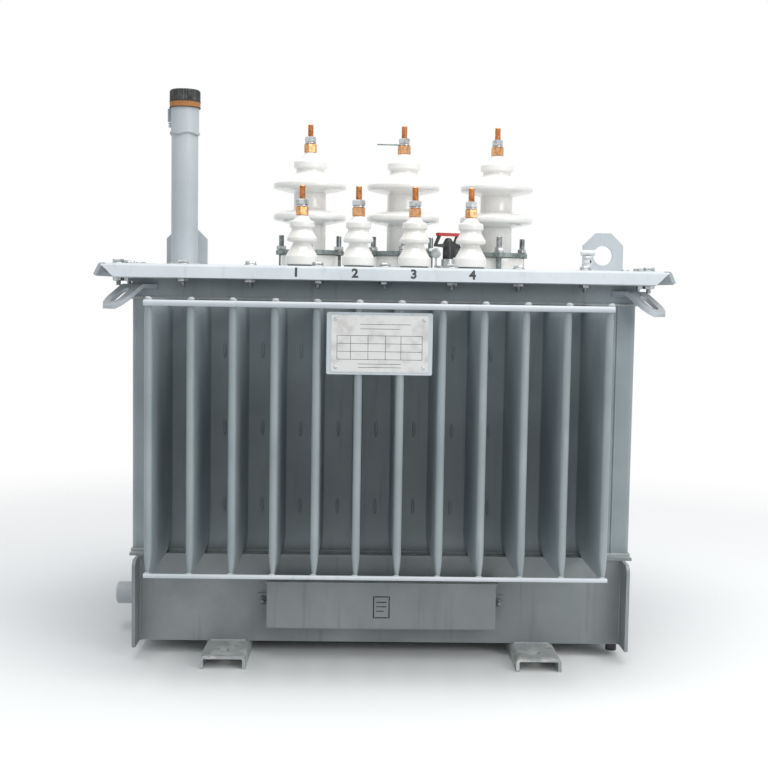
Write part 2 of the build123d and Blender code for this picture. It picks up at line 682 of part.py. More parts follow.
def build():
    """Every node by name."""
    front_wall = tray_wall()
    right_end = tray_end()
    sheet = tank_wall()
    bent_end = tank_end()
    pack = fins()
    bars = rods()
    eyes = eye_pair()
    runner = skid()
    pipe_x = PIPE_FROM_END - TANK_SIDE
    nodes = {
        "left_skid": Pos(-SKID_GAUGE / 2, 0, 0) * runner,
        "right_skid": Pos(SKID_GAUGE / 2, 0, 0) * runner,
        "tray_floor": tray_floor(),
        "tray_front_wall": front_wall,
        "tray_back_wall": HALF_TURN * front_wall,
        "tray_left_end": HALF_TURN * right_end,
        "tray_right_end": right_end,
        "tank_front_wall": sheet,
        "tank_back_wall": HALF_TURN * sheet,
        "tank_left_end": HALF_TURN * bent_end,
        "tank_right_end": bent_end,
        "front_fins": pack,
        "back_fins": HALF_TURN * pack,
        "front_rods": bars,
        "back_rods": HALF_TURN * bars,
        "rim_frame": rim_frame(),
        "lid_gasket": lid_gasket(),
        "lid": lid(),
        "front_lashing_eyes": eyes,
        "back_lashing_eyes": HALF_TURN * eyes,
        "bushing_gaskets": bushing_gaskets(),
        "filler_pipe": on_lid(pipe_x, PIPE_ROW, filler_pipe()),
        "filler_ring": on_lid(pipe_x, PIPE_ROW, filler_ring()),
        "filler_cap": on_lid(pipe_x, PIPE_ROW, filler_cap()),
        "tap_changer_base": on_lid(TAP_PLACE, 0, tap_changer_base()),
        "tap_handle": on_lid(TAP_PLACE, 0, tap_handle()),
        "tap_handle_bar": on_lid(TAP_PLACE, 0, tap_handle_bar()),
        "nameplate_carrier": nameplate_carrier(),
        "document_box": document_box(),
        "side_drain": side_drain(),
        "bottom_drain": bottom_drain(),
        "thermometer_pocket": on_lid(TANK_SIDE - POCKET_FROM_END, POCKET_ROW, thermometer_pocket()),
        "left_lifting_lug": on_lid(LUGS_FROM_END["left"] - TANK_SIDE, 0, lifting_lug()),
        "right_lifting_lug": on_lid(TANK_SIDE - LUGS_FROM_END["right"], 0, lifting_lug()),
    }
    for number, place in enumerate(hv_places(), 1):
        nodes[f"hv_insulator_{number}"] = Pos(*place) * hv_insulator()
    for number, place in enumerate(lv_places(), 1):
        nodes[f"lv_insulator_{number}"] = Pos(*place) * lv_insulator()
    hv_terminal = terminal(HV_TOP, HV_NUT_ACROSS, HV_NUT_HEIGHT, HV_STUD_TOP)
    lv_terminal = terminal(LV_TOP, LV_NUT_ACROSS, LV_NUT_HEIGHT, LV_STUD_TOP)
    nodes["hv_clamps"] = group([Pos(*place) * clamp() for place in hv_places()])
    nodes["hv_terminals"] = group([Pos(*place) * hv_terminal for place in hv_places()])
    nodes["lv_terminals"] = group([Pos(*place) * lv_terminal for place in lv_places()])
    return nodes


os.makedirs("parts", exist_ok=True)
for name, shape in build().items():
    export_step(shape, f"parts/{name}.step")
    print(name, round(shape.volume))
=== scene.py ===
"""Looks of an oil-filled distribution transformer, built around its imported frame. Metres, Z up."""
import json
import logging
import math
from dataclasses import dataclass
from enum import Enum

import bpy
from mathutils import Euler, Matrix, Vector


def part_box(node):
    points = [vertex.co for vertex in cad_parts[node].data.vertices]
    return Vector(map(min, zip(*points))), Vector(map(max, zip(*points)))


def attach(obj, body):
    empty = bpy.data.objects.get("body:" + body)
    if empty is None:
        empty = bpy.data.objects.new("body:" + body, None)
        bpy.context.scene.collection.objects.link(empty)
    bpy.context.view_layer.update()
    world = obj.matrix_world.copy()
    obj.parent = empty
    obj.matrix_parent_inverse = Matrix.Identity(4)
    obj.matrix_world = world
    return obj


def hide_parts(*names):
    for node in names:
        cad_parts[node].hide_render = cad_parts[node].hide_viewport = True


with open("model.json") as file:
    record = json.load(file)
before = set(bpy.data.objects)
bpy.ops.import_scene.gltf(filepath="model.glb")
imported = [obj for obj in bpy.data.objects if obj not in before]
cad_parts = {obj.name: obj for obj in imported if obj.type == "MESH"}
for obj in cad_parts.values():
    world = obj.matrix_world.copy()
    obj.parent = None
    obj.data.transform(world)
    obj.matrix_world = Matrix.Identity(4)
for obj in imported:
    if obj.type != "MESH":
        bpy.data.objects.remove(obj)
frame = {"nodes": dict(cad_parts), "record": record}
log = logging.getLogger("transformer")

MM = 0.001
QUARTER = math.pi / 2
BODY = "transformer"
HANDLE_BODY = "tap_handle"
STILL = Matrix.Identity(4)

# Thread pitches of the 8 mm and the 12 mm studs
FINE_PITCH = 1.25 * MM
COARSE_PITCH = 1.75 * MM

# The long sides, and which way along Y each one faces
SIDES = (("front", -1), ("back", 1))

# Sockets of the colour Mix node, which has several of each name
MIX_FACTOR, MIX_A, MIX_B, MIX_COLOUR = 0, 6, 7, 2

Point = tuple[float, float, float]
Profile = list[tuple[float, float]]
# Radius, height and rounding of one corner of a turned outline, in millimetres
Corner = tuple[float, float, float]
Mesh = bpy.types.Mesh
Socket = bpy.types.NodeSocket


def srgb(code: str) -> tuple[float, float, float, float]:
    """Turns an sRGB hex colour to linear.

    Args:
        code: The colour as #RRGGBB.

    Returns:
        Red, green, blue and a full alpha, linear.
    """
    parts = [int(code[i:i + 2], 16) / 255 for i in (1, 3, 5)]
    linear = [c / 12.92 if c <= 0.04045 else ((c + 0.055) / 1.055) ** 2.4 for c in parts]
    return (*linear, 1.0)


def per_metre(pitch_mm: float) -> float:
    """Gives the texture scale whose features have this size in millimetres."""
    return 1 / (pitch_mm * MM)


def add(tree: bpy.types.NodeTree, kind: str, settings: dict | None = None,
        links: dict | None = None) -> bpy.types.Node:
    """Adds one node to a tree.

    Args:
        tree: The shader or geometry tree.
        kind: Blender's name of the node's type.
        settings: Values by attribute, or else by input name or number.
        links: Sockets that feed its inputs, by input name or number.

    Returns:
        The new node.
    """
    node = tree.nodes.new(kind)
    for key, value in (settings or {}).items():
        if isinstance(key, str) and hasattr(node, key):
            setattr(node, key, value)
        else:
            node.inputs[key].default_value = value
    for key, socket in (links or {}).items():
        tree.links.new(socket, node.inputs[key])
    return node


class Surface:
    """A material in the making: a plain shader, on which stains, unevenness and relief are laid."""

    def __init__(self, name: str, colour: str, roughness: float, optics: dict[str, float]) -> None:
        """Starts the material.

        Args:
            name: Its name.
            colour: Its plain colour, as hex.
            roughness: Its middle roughness.
            optics: Other values of the shader.
        """
        self.roughness = roughness
        self.material = bpy.data.materials.new(name)
        self.material.use_nodes = True
        self.tree = self.material.node_tree
        self.tree.nodes.clear()
        self.where = add(self.tree, "ShaderNodeTexCoord").outputs["Object"]
        self.shader = add(self.tree, "ShaderNodeBsdfPrincipled",
                          {"Base Color": srgb(colour), "Roughness": roughness, **optics})
        add(self.tree, "ShaderNodeOutputMaterial", links={"Surface": self.shader.outputs["BSDF"]})

    def pattern(self, size_mm: float, detail: float = 3.0, stretch: Point = (1, 1, 1)) -> Socket:
        """Makes a cloudy pattern on the piece's own coordinates.

        Args:
            size_mm: Size of its clouds.
            detail: How many finer layers it has.
            stretch: Scale of the coordinates along each axis.

        Returns:
            The pattern's value.
        """
        place = add(self.tree, "ShaderNodeMapping", {"Scale": stretch}, {"Vector": self.where})
        clouds = add(self.tree, "ShaderNodeTexNoise", {"Scale": per_metre(size_mm), "Detail": detail},
                     {"Vector": place.outputs["Vector"]})
        return clouds.outputs["Fac"]

    def stain(self, colour: str, value: Socket, low: float, high: float, most: float | Socket) -> Socket:
        """Lays a colour over what is there, in soft patches that follow a pattern.

        Args:
            colour: The stain's colour, as hex.
            value: The pattern.
            low: The pattern's value where the stain starts.
            high: The value where it is full, which lies below low for the pattern's dark patches.
            most: The stain's share where it is full, as a number or a socket.

        Returns:
            The stain's share at every point.
        """
        settings = {"interpolation_type": "SMOOTHSTEP", "From Min": low, "From Max": high, "To Min": 0.0}
        links = {"Value": value}
        (links if isinstance(most, Socket) else settings)["To Max"] = most
        share = add(self.tree, "ShaderNodeMapRange", settings, links).outputs["Result"]
        base = self.shader.inputs["Base Color"]
        below = {MIX_A: link.from_socket for link in base.links}
        mix = add(self.tree, "ShaderNodeMix", {
            "data_type": "RGBA", MIX_A: tuple(base.default_value), MIX_B: srgb(colour)},
            {MIX_FACTOR: share, **below})
        self.tree.links.new(mix.outputs[MIX_COLOUR], base)
        return share

    def uneven(self, gloss: Socket, spread: float, reliefs: list[tuple[Socket, float]]) -> None:
        """Makes the shine uneven, and raises the surface.

        Args:
            gloss: The pattern that the roughness follows.
            spread: How far the roughness goes to each side of its middle.
            reliefs: Each pattern that raises the surface, and its height in millimetres.
        """
        dull = add(self.tree, "ShaderNodeMapRange", {
            "To Min": self.roughness - spread, "To Max": self.roughness + spread}, {"Value": gloss})
        self.tree.links.new(dull.outputs["Result"], self.shader.inputs["Roughness"])
        normal = self.shader.inputs["Normal"]
        for value, height_mm in reliefs:
            below = {"Normal": link.from_socket for link in normal.links}
            bump = add(self.tree, "ShaderNodeBump", {"Distance": height_mm * MM, "Strength": 1.0},
                       {"Height": value, **below})
            self.tree.links.new(bump.outputs["Normal"], normal)


@dataclass(frozen=True)
class Finish:
    """A surface finish: what it is, the frame's slot that it stands for, its colour and its roughness."""

    name: str
    slot: str
    colour: str
    roughness: float

    def optics(self) -> dict[str, float]:
        """Gives the shader's values beyond colour and roughness."""
        return {}

    def dress(self, surface: Surface) -> None:
        """Lays on what this finish has beyond a plain colour."""

    def build(self) -> bpy.types.Material:
        """Makes the material."""
        surface = Surface(self.name, self.colour, self.roughness, self.optics())
        self.dress(surface)
        return surface.material


@dataclass(frozen=True)
class SprayedEnamel(Finish):
    """Alkyd enamel sprayed on rolled steel: satin, with orange peel, clouds, and dust on what faces up."""

    shade: str = "#6F787A"
    pale: str = "#A4ABAC"
    dust: str = "#C9CBC8"
    grime: str = "#4F5453"
    dust_share: float = 0.35
    grime_share: float = 0.3
    cloud_mm: float = 120.0
    streak_mm: float = 14.0
    streak_stretch: Point = (1, 1, 0.07)
    dust_mm: float = 35.0
    speck_mm: float = 3.0
    dent_mm: float = 70.0
    dent_height_mm: float = 0.9
    # Orange peel at about its real size, which is a pixel or two of the picture
    peel_mm: float = 2.2
    peel_height_mm: float = 0.02

    def dress(self, surface: Surface) -> None:
        """Lays on clouds, runs of grime, dust, specks, orange peel and the sheet's slight dents.

        Args:
            surface: The material in the making.
        """
        clouds = surface.pattern(self.cloud_mm, 5)
        surface.stain(self.shade, clouds, low=0.45, high=0.75, most=0.5)
        surface.stain(self.pale, clouds, low=0.5, high=0.25, most=0.45)
        runs = surface.pattern(self.streak_mm, 4, self.streak_stretch)
        surface.stain(self.grime, runs, low=0.55, high=0.8, most=self.grime_share)
        # Dust lies where the surface faces up, and less of it on slopes
        normal = add(surface.tree, "ShaderNodeNewGeometry").outputs["Normal"]
        facing = add(surface.tree, "ShaderNodeSeparateXYZ", links={"Vector": normal}).outputs["Z"]
        settled = add(surface.tree, "ShaderNodeMapRange", {
            "interpolation_type": "SMOOTHSTEP", "From Min": 0.2, "From Max": 0.9, "To Min": 0.0,
            "To Max": self.dust_share}, {"Value": facing}).outputs["Result"]
        surface.stain(self.dust, surface.pattern(self.dust_mm, 6), low=0.3, high=0.6, most=settled)
        surface.stain(self.grime, surface.pattern(self.speck_mm, 2), low=0.7, high=0.78, most=0.5)
        surface.uneven(clouds, spread=0.08, reliefs=[
            (surface.pattern(self.dent_mm, 2), self.dent_height_mm),
            (surface.pattern(self.peel_mm, 1), self.peel_height_mm)])


@dataclass(frozen=True)
class WornEnamel(SprayedEnamel):
    """The same enamel knocked off in patches, which shows pale scuffed primer and a little rust."""

    primer: str = "#B9BCB8"
    rust: str = "#6B4A36"
    worn_share: float = 0.8
    worn_mm: float = 28.0
    rust_mm: float = 16.0

    def dress(self, surface: Surface) -> None:
        """Lays scuffed patches and rust over the plain enamel.

        Args:
            surface: The material in the making.
        """
        super().dress(surface)
        surface.stain(self.primer, surface.pattern(self.worn_mm, 7), low=0.5, high=0.58, most=self.worn_share)
        surface.stain(self.rust, surface.pattern(self.rust_mm, 6), low=0.6, high=0.72, most=0.5)


@dataclass(frozen=True)
class WeldedEnamel(SprayedEnamel):
    """Enamel over a weld bead: a paler grey all over, with rust pricks."""

    rust: str = "#7A5B45"
    rust_mm: float = 7.0

    def dress(self, surface: Surface) -> None:
        """Lays rust pricks over the plain enamel.

        Args:
            surface: The material in the making.
        """
        super().dress(surface)
        surface.stain(self.rust, surface.pattern(self.rust_mm, 5), low=0.6, high=0.7, most=0.45)


@dataclass(frozen=True)
class GlazedPorcelain(Finish):
    """Turned electrical porcelain under a clear white glaze: glassy, a little uneven, warm where thin."""

    warm: str = "#E4DDD0"
    soot: str = "#B9B6B0"
    cloud_mm: float = 45.0
    speck_mm: float = 4.0
    wave_mm: float = 22.0
    wave_height_mm: float = 0.12
    refraction: float = 1.5
    glaze: float = 0.6
    glaze_roughness: float = 0.06

    def optics(self) -> dict[str, float]:
        """Gives the glaze its refraction and its clear top layer."""
        return {"IOR": self.refraction, "Coat Weight": self.glaze, "Coat Roughness": self.glaze_roughness}

    def dress(self, surface: Surface) -> None:
        """Lays on warm clouds, faint soot specks and the glaze's slow waves.

        Args:
            surface: The material in the making.
        """
        clouds = surface.pattern(self.cloud_mm, 3)
        surface.stain(self.warm, clouds, low=0.45, high=0.8, most=0.55)
        surface.stain(self.soot, surface.pattern(self.speck_mm, 3), low=0.66, high=0.76, most=0.5)
        surface.uneven(clouds, spread=0.06, reliefs=[(surface.pattern(self.wave_mm, 2), self.wave_height_mm)])


@dataclass(frozen=True)
class PlatedMetal(Finish):
    """Bare or plated metal: full metal reflection broken up by dull patches and fine scratches."""

    dull: str = "#8F9390"
    patch_mm: float = 9.0
    # The real grain is about 0.1 mm, and is drawn coarser so that it shows from near
    grain_mm: float = 0.7
    grain_height_mm: float = 0.03
    metallic: float = 1.0

    def optics(self) -> dict[str, float]:
        """Makes the shader a metal."""
        return {"Metallic": self.metallic}

    def dress(self, surface: Surface) -> None:
        """Lays on dull patches and a fine grain.

        Args:
            surface: The material in the making.
        """
        patches = surface.pattern(self.patch_mm, 4)
        surface.stain(self.dull, patches, low=0.42, high=0.7, most=0.8)
        surface.uneven(patches, spread=0.12, reliefs=[
            (surface.pattern(self.grain_mm, 2), self.grain_height_mm)])


@dataclass(frozen=True)
class MouldedPolymer(Finish):
    """Rubber or plastic from a mould: even colour, fine spark-eroded texture, dust in a thin film."""

    dust: str = "#6F6F6C"
    dust_share: float = 0.3
    dust_mm: float = 12.0
    # The real texture is about 0.1 mm, and is drawn coarser so that it shows from near
    grain_mm: float = 0.8
    grain_height_mm: float = 0.03

    def dress(self, surface: Surface) -> None:
        """Lays on a dust film and the mould's texture.

        Args:
            surface: The material in the making.
        """
        film = surface.stain(self.dust, surface.pattern(self.dust_mm, 5), low=0.45, high=0.75,
                             most=self.dust_share)
        surface.uneven(film, spread=0.05, reliefs=[
            (surface.pattern(self.grain_mm, 2), self.grain_height_mm)])


@dataclass(frozen=True)
class BrushedAluminium(Finish):
    """Rolled aluminium sheet, anodised clear: soft sheen with hairlines along the plate."""

    water: str = "#B3B2AE"
    water_mm: float = 22.0
    # Real brush lines are about 0.1 mm wide, and are drawn coarser so that they show from near
    hair_mm: float = 1.2
    hair_stretch: Point = (0.03, 1, 1)
    hair_height_mm: float = 0.02
    metallic: float = 0.85

    def optics(self) -> dict[str, float]:
        """Makes the shader a metal under its clear oxide."""
        return {"Metallic": self.metallic}

    def dress(self, surface: Surface) -> None:
        """Lays on water stains and hairlines.

        Args:
            surface: The material in the making.
        """
        surface.stain(self.water, surface.pattern(self.water_mm, 6), low=0.45, high=0.7, most=0.6)
        hairs = surface.pattern(self.hair_mm, 4, self.hair_stretch)
        surface.uneven(hairs, spread=0.1, reliefs=[(hairs, self.hair_height_mm)])


class Paint(Enum):
    """Every finish of the object, by the part that wears it."""

    # Enamel sprayed on the fin packs and walls: cool middle grey, satin, faintly mottled
    TANK = SprayedEnamel("sprayed_enamel_grey", "grey_enamel", "#919B9E", 0.42, shade="#7A8588",
                         pale="#A7B0B3")
    # The same enamel low down: a duller, warmer grey with more splashed grime
    TRAY = SprayedEnamel("sprayed_enamel_tray", "grey_enamel", "#868C8D", 0.44, grime_share=0.4)
    # A lighter coat on pipe, lugs and eyes: pale grey with a soft highlight on edges
    FITTING = SprayedEnamel("sprayed_enamel_light", "light_enamel", "#B7BEC2", 0.4, shade="#A2AAAD",
                            pale="#C6CCCF", grime="#828787")
    # The same coat on the lid and the rods, made paler still: a painted highlight for the sky light that
    # falls on them from above
    LID = SprayedEnamel("sprayed_enamel_sky_highlight", "light_enamel", "#C3CACE", 0.4, shade="#B0B8BC",
                        pale="#D3D8DB", grime="#8D9291")
    # Enamel scuffed by the ground: light and dull, with hard-edged patches of primer and some rust
    SKID = WornEnamel("scuffed_enamel", "grey_enamel", "#A8AEAC", 0.5, shade="#8B9292", pale="#B4B9B8",
                      primer="#CCCEC9")
    # White enamel of the small valve: nearly white, smooth, with faint grey clouds
    PALE = SprayedEnamel("sprayed_enamel_white", "zinc_steel", "#D9DDDE", 0.38, shade="#C2C8CA",
                         pale="#ECEEEE", grime="#9B9F9E")
    # Enamel over weld beads: a paler grey than the walls, whose ripples catch the light, pricked with rust
    WELD = WeldedEnamel("enamel_over_weld", "grey_enamel", "#A6ACAD", 0.45, shade="#858C8C", pale="#BBC0C0")
    # Glazed porcelain: warm white with sharp, glassy highlights
    PORCELAIN = GlazedPorcelain("glazed_porcelain", "porcelain", "#EDEBE7", 0.16)
    # Steel with bright zinc plating: cool silver with cloudy dull patches
    ZINC = PlatedMetal("zinc_plated_steel", "zinc_steel", "#C4C8CA", 0.34)
    # Brass turned on a lathe and handled: soft orange gold with brown patches
    BRASS = PlatedMetal("turned_brass", "brass", "#D8A67B", 0.38, dull="#AE7A48", patch_mm=6.0)
    # Steel phosphated in a bath: dark greenish grey, almost without shine
    CLAMP = PlatedMetal("phosphated_steel", "zinc_steel", "#87918F", 0.5, dull="#59635F", metallic=0.6)
    # Moulded nitrile rubber: black and matt
    RUBBER = MouldedPolymer("nitrile_rubber", "black_rubber", "#1D1E1F", 0.75)
    # Pressed cork and rubber: tan and matt, darker where oil has soaked in
    TAN_RUBBER = MouldedPolymer("cork_rubber", "tan_rubber", "#A9713F", 0.7, dust="#7D5330")
    # Moulded black plastic: deep black with a soft sheen and a film of dust
    BLACK = MouldedPolymer("black_moulded_plastic", "black_plastic", "#17191B", 0.42)
    # Moulded red plastic: full red, a little faded in patches
    RED = MouldedPolymer("red_moulded_plastic", "red_plastic", "#B51F1F", 0.35, dust="#8C2A26")
    # Anodised aluminium sheet: pale silver with a sheen drawn out along the plate
    PLATE = BrushedAluminium("anodised_aluminium", "zinc_steel", "#D5D6D6", 0.4)
    # Stencilled or printed black: flat, rubbed to grey in patches
    INK = MouldedPolymer("stencil_paint", "black_plastic", "#26292A", 0.6, dust="#5E6363", dust_share=0.7)


SLOT_PAINT = {
    "grey_enamel": Paint.TANK,
    # The lid's light enamel is drawn paler than its coat, a painted highlight for the sky light on it
    "light_enamel": Paint.LID,
    "porcelain": Paint.PORCELAIN,
    "brass": Paint.BRASS,
    "zinc_steel": Paint.ZINC,
    "black_rubber": Paint.RUBBER,
    "black_plastic": Paint.BLACK,
    "red_plastic": Paint.RED,
    "tan_rubber": Paint.TAN_RUBBER,
}
# Nodes of the frame that differ from their slot's finish, by how their names start
OTHER_PAINT = {
    Paint.TRAY: ("tray_", "document_box"),
    Paint.FITTING: ("front_lashing", "back_lashing", "left_lifting", "right_lifting", "filler_pipe",
                    "side_drain"),
    Paint.SKID: ("left_skid", "right_skid"),
    Paint.CLAMP: ("hv_clamps",),
}


class Crease(Enum):
    """Angle in degrees above which an edge stays sharp, by how a piece was made."""

    RIBBED = 25.0
    MACHINED = 30.0
    CLOSED = 35.0
    ROUNDED = 40.0
    PRESSED = 50.0
    MELTED = 60.0


def new_mesh(name: str, points: list[Point], faces: list[tuple[int, ...]],
             edges: list[tuple[int, int]] | None = None) -> Mesh:
    """Makes a mesh from its points and faces.

    Args:
        name: The mesh's name.
        points: Its vertices.
        faces: Its faces, turned outwards.
        edges: Its loose edges.

    Returns:
        The mesh.
    """
    mesh = bpy.data.meshes.new(name)
    mesh.from_pydata([tuple(p) for p in points], edges or [], faces)
    mesh.validate()
    return mesh


def lofted(name: str, rings: list[list[Point]]) -> Mesh:
    """Closes a row of rings into a solid mesh.

    Args:
        name: The mesh's name.
        rings: Its sections, with as many points each, anticlockwise as seen from the last one.

    Returns:
        The closed mesh.
    """
    n = len(rings[0])
    last = n * (len(rings) - 1)
    faces: list[tuple[int, ...]] = [tuple(reversed(range(n)))]
    for start in range(0, last, n):
        faces += [(start + i, start + (i + 1) % n, start + n + (i + 1) % n, start + n + i) for i in range(n)]
    faces.append(tuple(range(last, last + n)))
    return new_mesh(name, [point for ring in rings for point in ring], faces)


def plate(name: str, outline: Profile, low: float, high: float) -> Mesh:
    """Raises a flat outline, anticlockwise from above, between two levels."""
    return lofted(name, [[(x, y, z) for x, y in outline] for z in (low, high)])


def box_mesh(name: str, low: Point, high: Point, edge: float = 0.0) -> Mesh:
    """Makes a box between two corners, with bevelled upright edges if an edge size is given.

    Args:
        name: The mesh's name.
        low: Its lowest corner.
        high: Its highest corner.
        edge: Size of the bevels.

    Returns:
        The closed mesh.
    """
    x0, y0, z0 = low
    x1, y1, z1 = high
    if edge <= 0:
        return plate(name, [(x0, y0), (x1, y0), (x1, y1), (x0, y1)], z0, z1)
    outline = [(x0 + edge, y0), (x1 - edge, y0), (x1, y0 + edge), (x1, y1 - edge),
               (x1 - edge, y1), (x0 + edge, y1), (x0, y1 - edge), (x0, y0 + edge)]
    return plate(name, outline, z0, z1)


def turned(name: str, profile: Profile, sides: int = 48) -> Mesh:
    """Turns a profile about the Z axis into a closed mesh.

    Args:
        name: The mesh's name.
        profile: Radius and height, from the bottom of the axis round the outside to its top.
        sides: Faces round the axis.

    Returns:
        The mesh.
    """
    points: list[Point] = []
    rings: list[list[int]] = []
    for radius, height in profile:
        if radius < 1e-9:
            rings.append([len(points)])
            points.append((0.0, 0.0, height))
            continue
        rings.append(list(range(len(points), len(points) + sides)))
        points += [(radius * math.cos(math.tau * i / sides), radius * math.sin(math.tau * i / sides), height)
                   for i in range(sides)]
    faces: list[tuple[int, ...]] = []
    for low, high in zip(rings, rings[1:]):
        for i in range(sides):
            j = (i + 1) % sides
            quad = [low[i % len(low)], low[j % len(low)], high[j % len(high)], high[i % len(high)]]
            face = tuple(dict.fromkeys(quad))
            if len(face) > 2:
                faces.append(face)
    return new_mesh(name, points, faces)


def rounded(profile: Profile, radii: list[float], steps: int = 5) -> Profile:
    """Rounds the corners of a profile.

    Args:
        profile: Its corners.
        radii: A radius for each corner, or zero.
        steps: Stretches along each arc.

    Returns:
        The profile with arcs.
    """
    out: Profile = []
    for i, (corner, radius) in enumerate(zip(profile, radii)):
        if radius <= 0 or i in (0, len(profile) - 1):
            out.append(corner)
            continue
        here = Vector(corner)
        to_last = (Vector(profile[i - 1]) - here).normalized()
        to_next = (Vector(profile[i + 1]) - here).normalized()
        half = to_last.angle(to_next) / 2
        centre = here + (to_last + to_next).normalized() * (radius / math.sin(half))
        start = here + to_last * (radius / math.tan(half)) - centre
        end = here + to_next * (radius / math.tan(half)) - centre
        turn = math.copysign(math.pi - 2 * half, start.cross(end))
        for k in range(steps + 1):
            arm = start.to_3d()
            arm.rotate(Euler((0, 0, turn * k / steps)))
            out.append((centre.x + arm.x, centre.y + arm.y))
    return out


def outline(rows: list[Corner], steps: int) -> Profile:
    """Rounds an outline that is given in millimetres, and gives it in metres.

    Args:
        rows: Its corners.
        steps: Stretches along each arc.

    Returns:
        The rounded outline.
    """
    arcs = rounded([(radius, height) for radius, height, _ in rows], [edge for _, _, edge in rows], steps)
    return [(radius * MM, height * MM) for radius, height in arcs]


def round_bar(name: str, radius: float, low: float, high: float, sides: int = 48, edge: float = 0.0,
              steps: int = 3) -> Mesh:
    """Makes a round bar or disc along Z.

    Args:
        name: The mesh's name.
        radius: Its radius.
        low: Its lower end.
        high: Its upper end.
        sides: Faces round it.
        edge: Rounding of both ends' edges.
        steps: Stretches along each rounding.

    Returns:
        The mesh.
    """
    profile = [(0.0, low), (radius, low), (radius, high), (0.0, high)]
    return turned(name, rounded(profile, [0, edge, edge, 0], steps), sides)


def hexagon_nut(name: str, across: float, height: float) -> Mesh:
    """Makes a hexagon nut or head with chamfered corners, standing on the origin.

    Args:
        name: The mesh's name.
        across: Width across its flats.
        height: Its height.

    Returns:
        The mesh.
    """
    corner = across / math.sqrt(3)
    # The chamfer comes a little inside the flats and takes an eighth of the corner's reach
    face = 0.96 * across / 2
    chamfer = 0.12 * corner
    edges = [(face, 0.0), (corner, chamfer), (corner, height - chamfer), (face, height)]
    return turned(name, [(0.0, 0.0), *edges, (0.0, height)], 6)


def threaded(name: str, radius: float, low: float, high: float, pitch: float, sides: int = 16) -> Mesh:
    """Makes a stud whose thread is a row of grooves.

    Args:
        name: The mesh's name.
        radius: Outer radius of the thread.
        low: Its lower end.
        high: Its upper end.
        pitch: Distance between grooves.
        sides: Faces round the stud.

    Returns:
        The mesh.
    """
    # A metric thread's groove is about 0.55 of its pitch deep
    root = radius - 0.55 * pitch
    turns = int((high - low - pitch) / pitch)
    profile = [(0.0, low), (root, low)]
    for i in range(turns):
        crest = low + (i + 0.5) * pitch
        profile += [(radius, crest), (root, crest + pitch / 2)]
    profile += [(radius, low + (turns + 0.5) * pitch), (radius * 0.8, high), (0.0, high)]
    return turned(name, profile, sides)


def up(height: float) -> Matrix:
    """Gives the move that lifts a mesh by a height."""
    return Matrix.Translation((0, 0, height))


def joined(name: str, meshes: list[tuple[Mesh, Matrix]]) -> Mesh:
    """Joins placed meshes into one.

    Args:
        name: The new mesh's name.
        meshes: Each mesh and its place.

    Returns:
        The joined mesh.
    """
    points: list[Point] = []
    faces: list[tuple[int, ...]] = []
    for mesh, place in meshes:
        start = len(points)
        points += [tuple(place @ v.co) for v in mesh.vertices]
        faces += [tuple(start + i for i in p.vertices) for p in mesh.polygons]
    return new_mesh(name, points, faces)


class GeometryTree:
    """A geometry node tree with named inputs, which ends in realized geometry of one finish."""

    def __init__(self, name: str, inputs: dict[str, str]) -> None:
        """Starts the tree.

        Args:
            name: Its name.
            inputs: Socket type of each named input.
        """
        self.tree = bpy.data.node_groups.new(name, "GeometryNodeTree")
        face = self.tree.interface
        face.new_socket("Geometry", in_out="INPUT", socket_type="NodeSocketGeometry")
        self.sockets = {key: face.new_socket(key, in_out="INPUT", socket_type=kind)
                        for key, kind in {**inputs, "Finish": "NodeSocketMaterial"}.items()}
        face.new_socket("Geometry", in_out="OUTPUT", socket_type="NodeSocketGeometry")
        self.entry = self.add("NodeGroupInput")

    def add(self, kind: str, settings: dict | None = None, links: dict | None = None) -> bpy.types.Node:
        """Adds one node to this tree."""
        return add(self.tree, kind, settings, links)

    def end(self, geometry: Socket) -> None:
        """Realizes the geometry, gives it its finish and sends it out.

        Args:
            geometry: What the tree has made.
        """
        real = self.add("GeometryNodeRealizeInstances", links={"Geometry": geometry})
        dressed = self.add("GeometryNodeSetMaterial", links={
            "Geometry": real.outputs["Geometry"], "Material": self.entry.outputs["Finish"]})
        self.add("NodeGroupOutput", links={"Geometry": dressed.outputs["Geometry"]})

    def run(self, name: str, base: Mesh, values: dict) -> Mesh:
        """Runs the tree on a mesh.

        Args:
            name: Name of the result.
            base: The mesh that goes in.
            values: A value for each named input.

        Returns:
            The plain mesh that comes out.
        """
        carrier = bpy.data.objects.new(name + "_base", base)
        bpy.context.collection.objects.link(carrier)
        modifier = carrier.modifiers.new(name, "NODES")
        modifier.node_group = self.tree
        for key, value in values.items():
            modifier[self.sockets[key].identifier] = value
        graph = bpy.context.evaluated_depsgraph_get()
        mesh = bpy.data.meshes.new_from_object(carrier.evaluated_get(graph))
        mesh.name = name
        carrier.modifiers.clear()
        bpy.data.objects.remove(carrier)
        return mesh


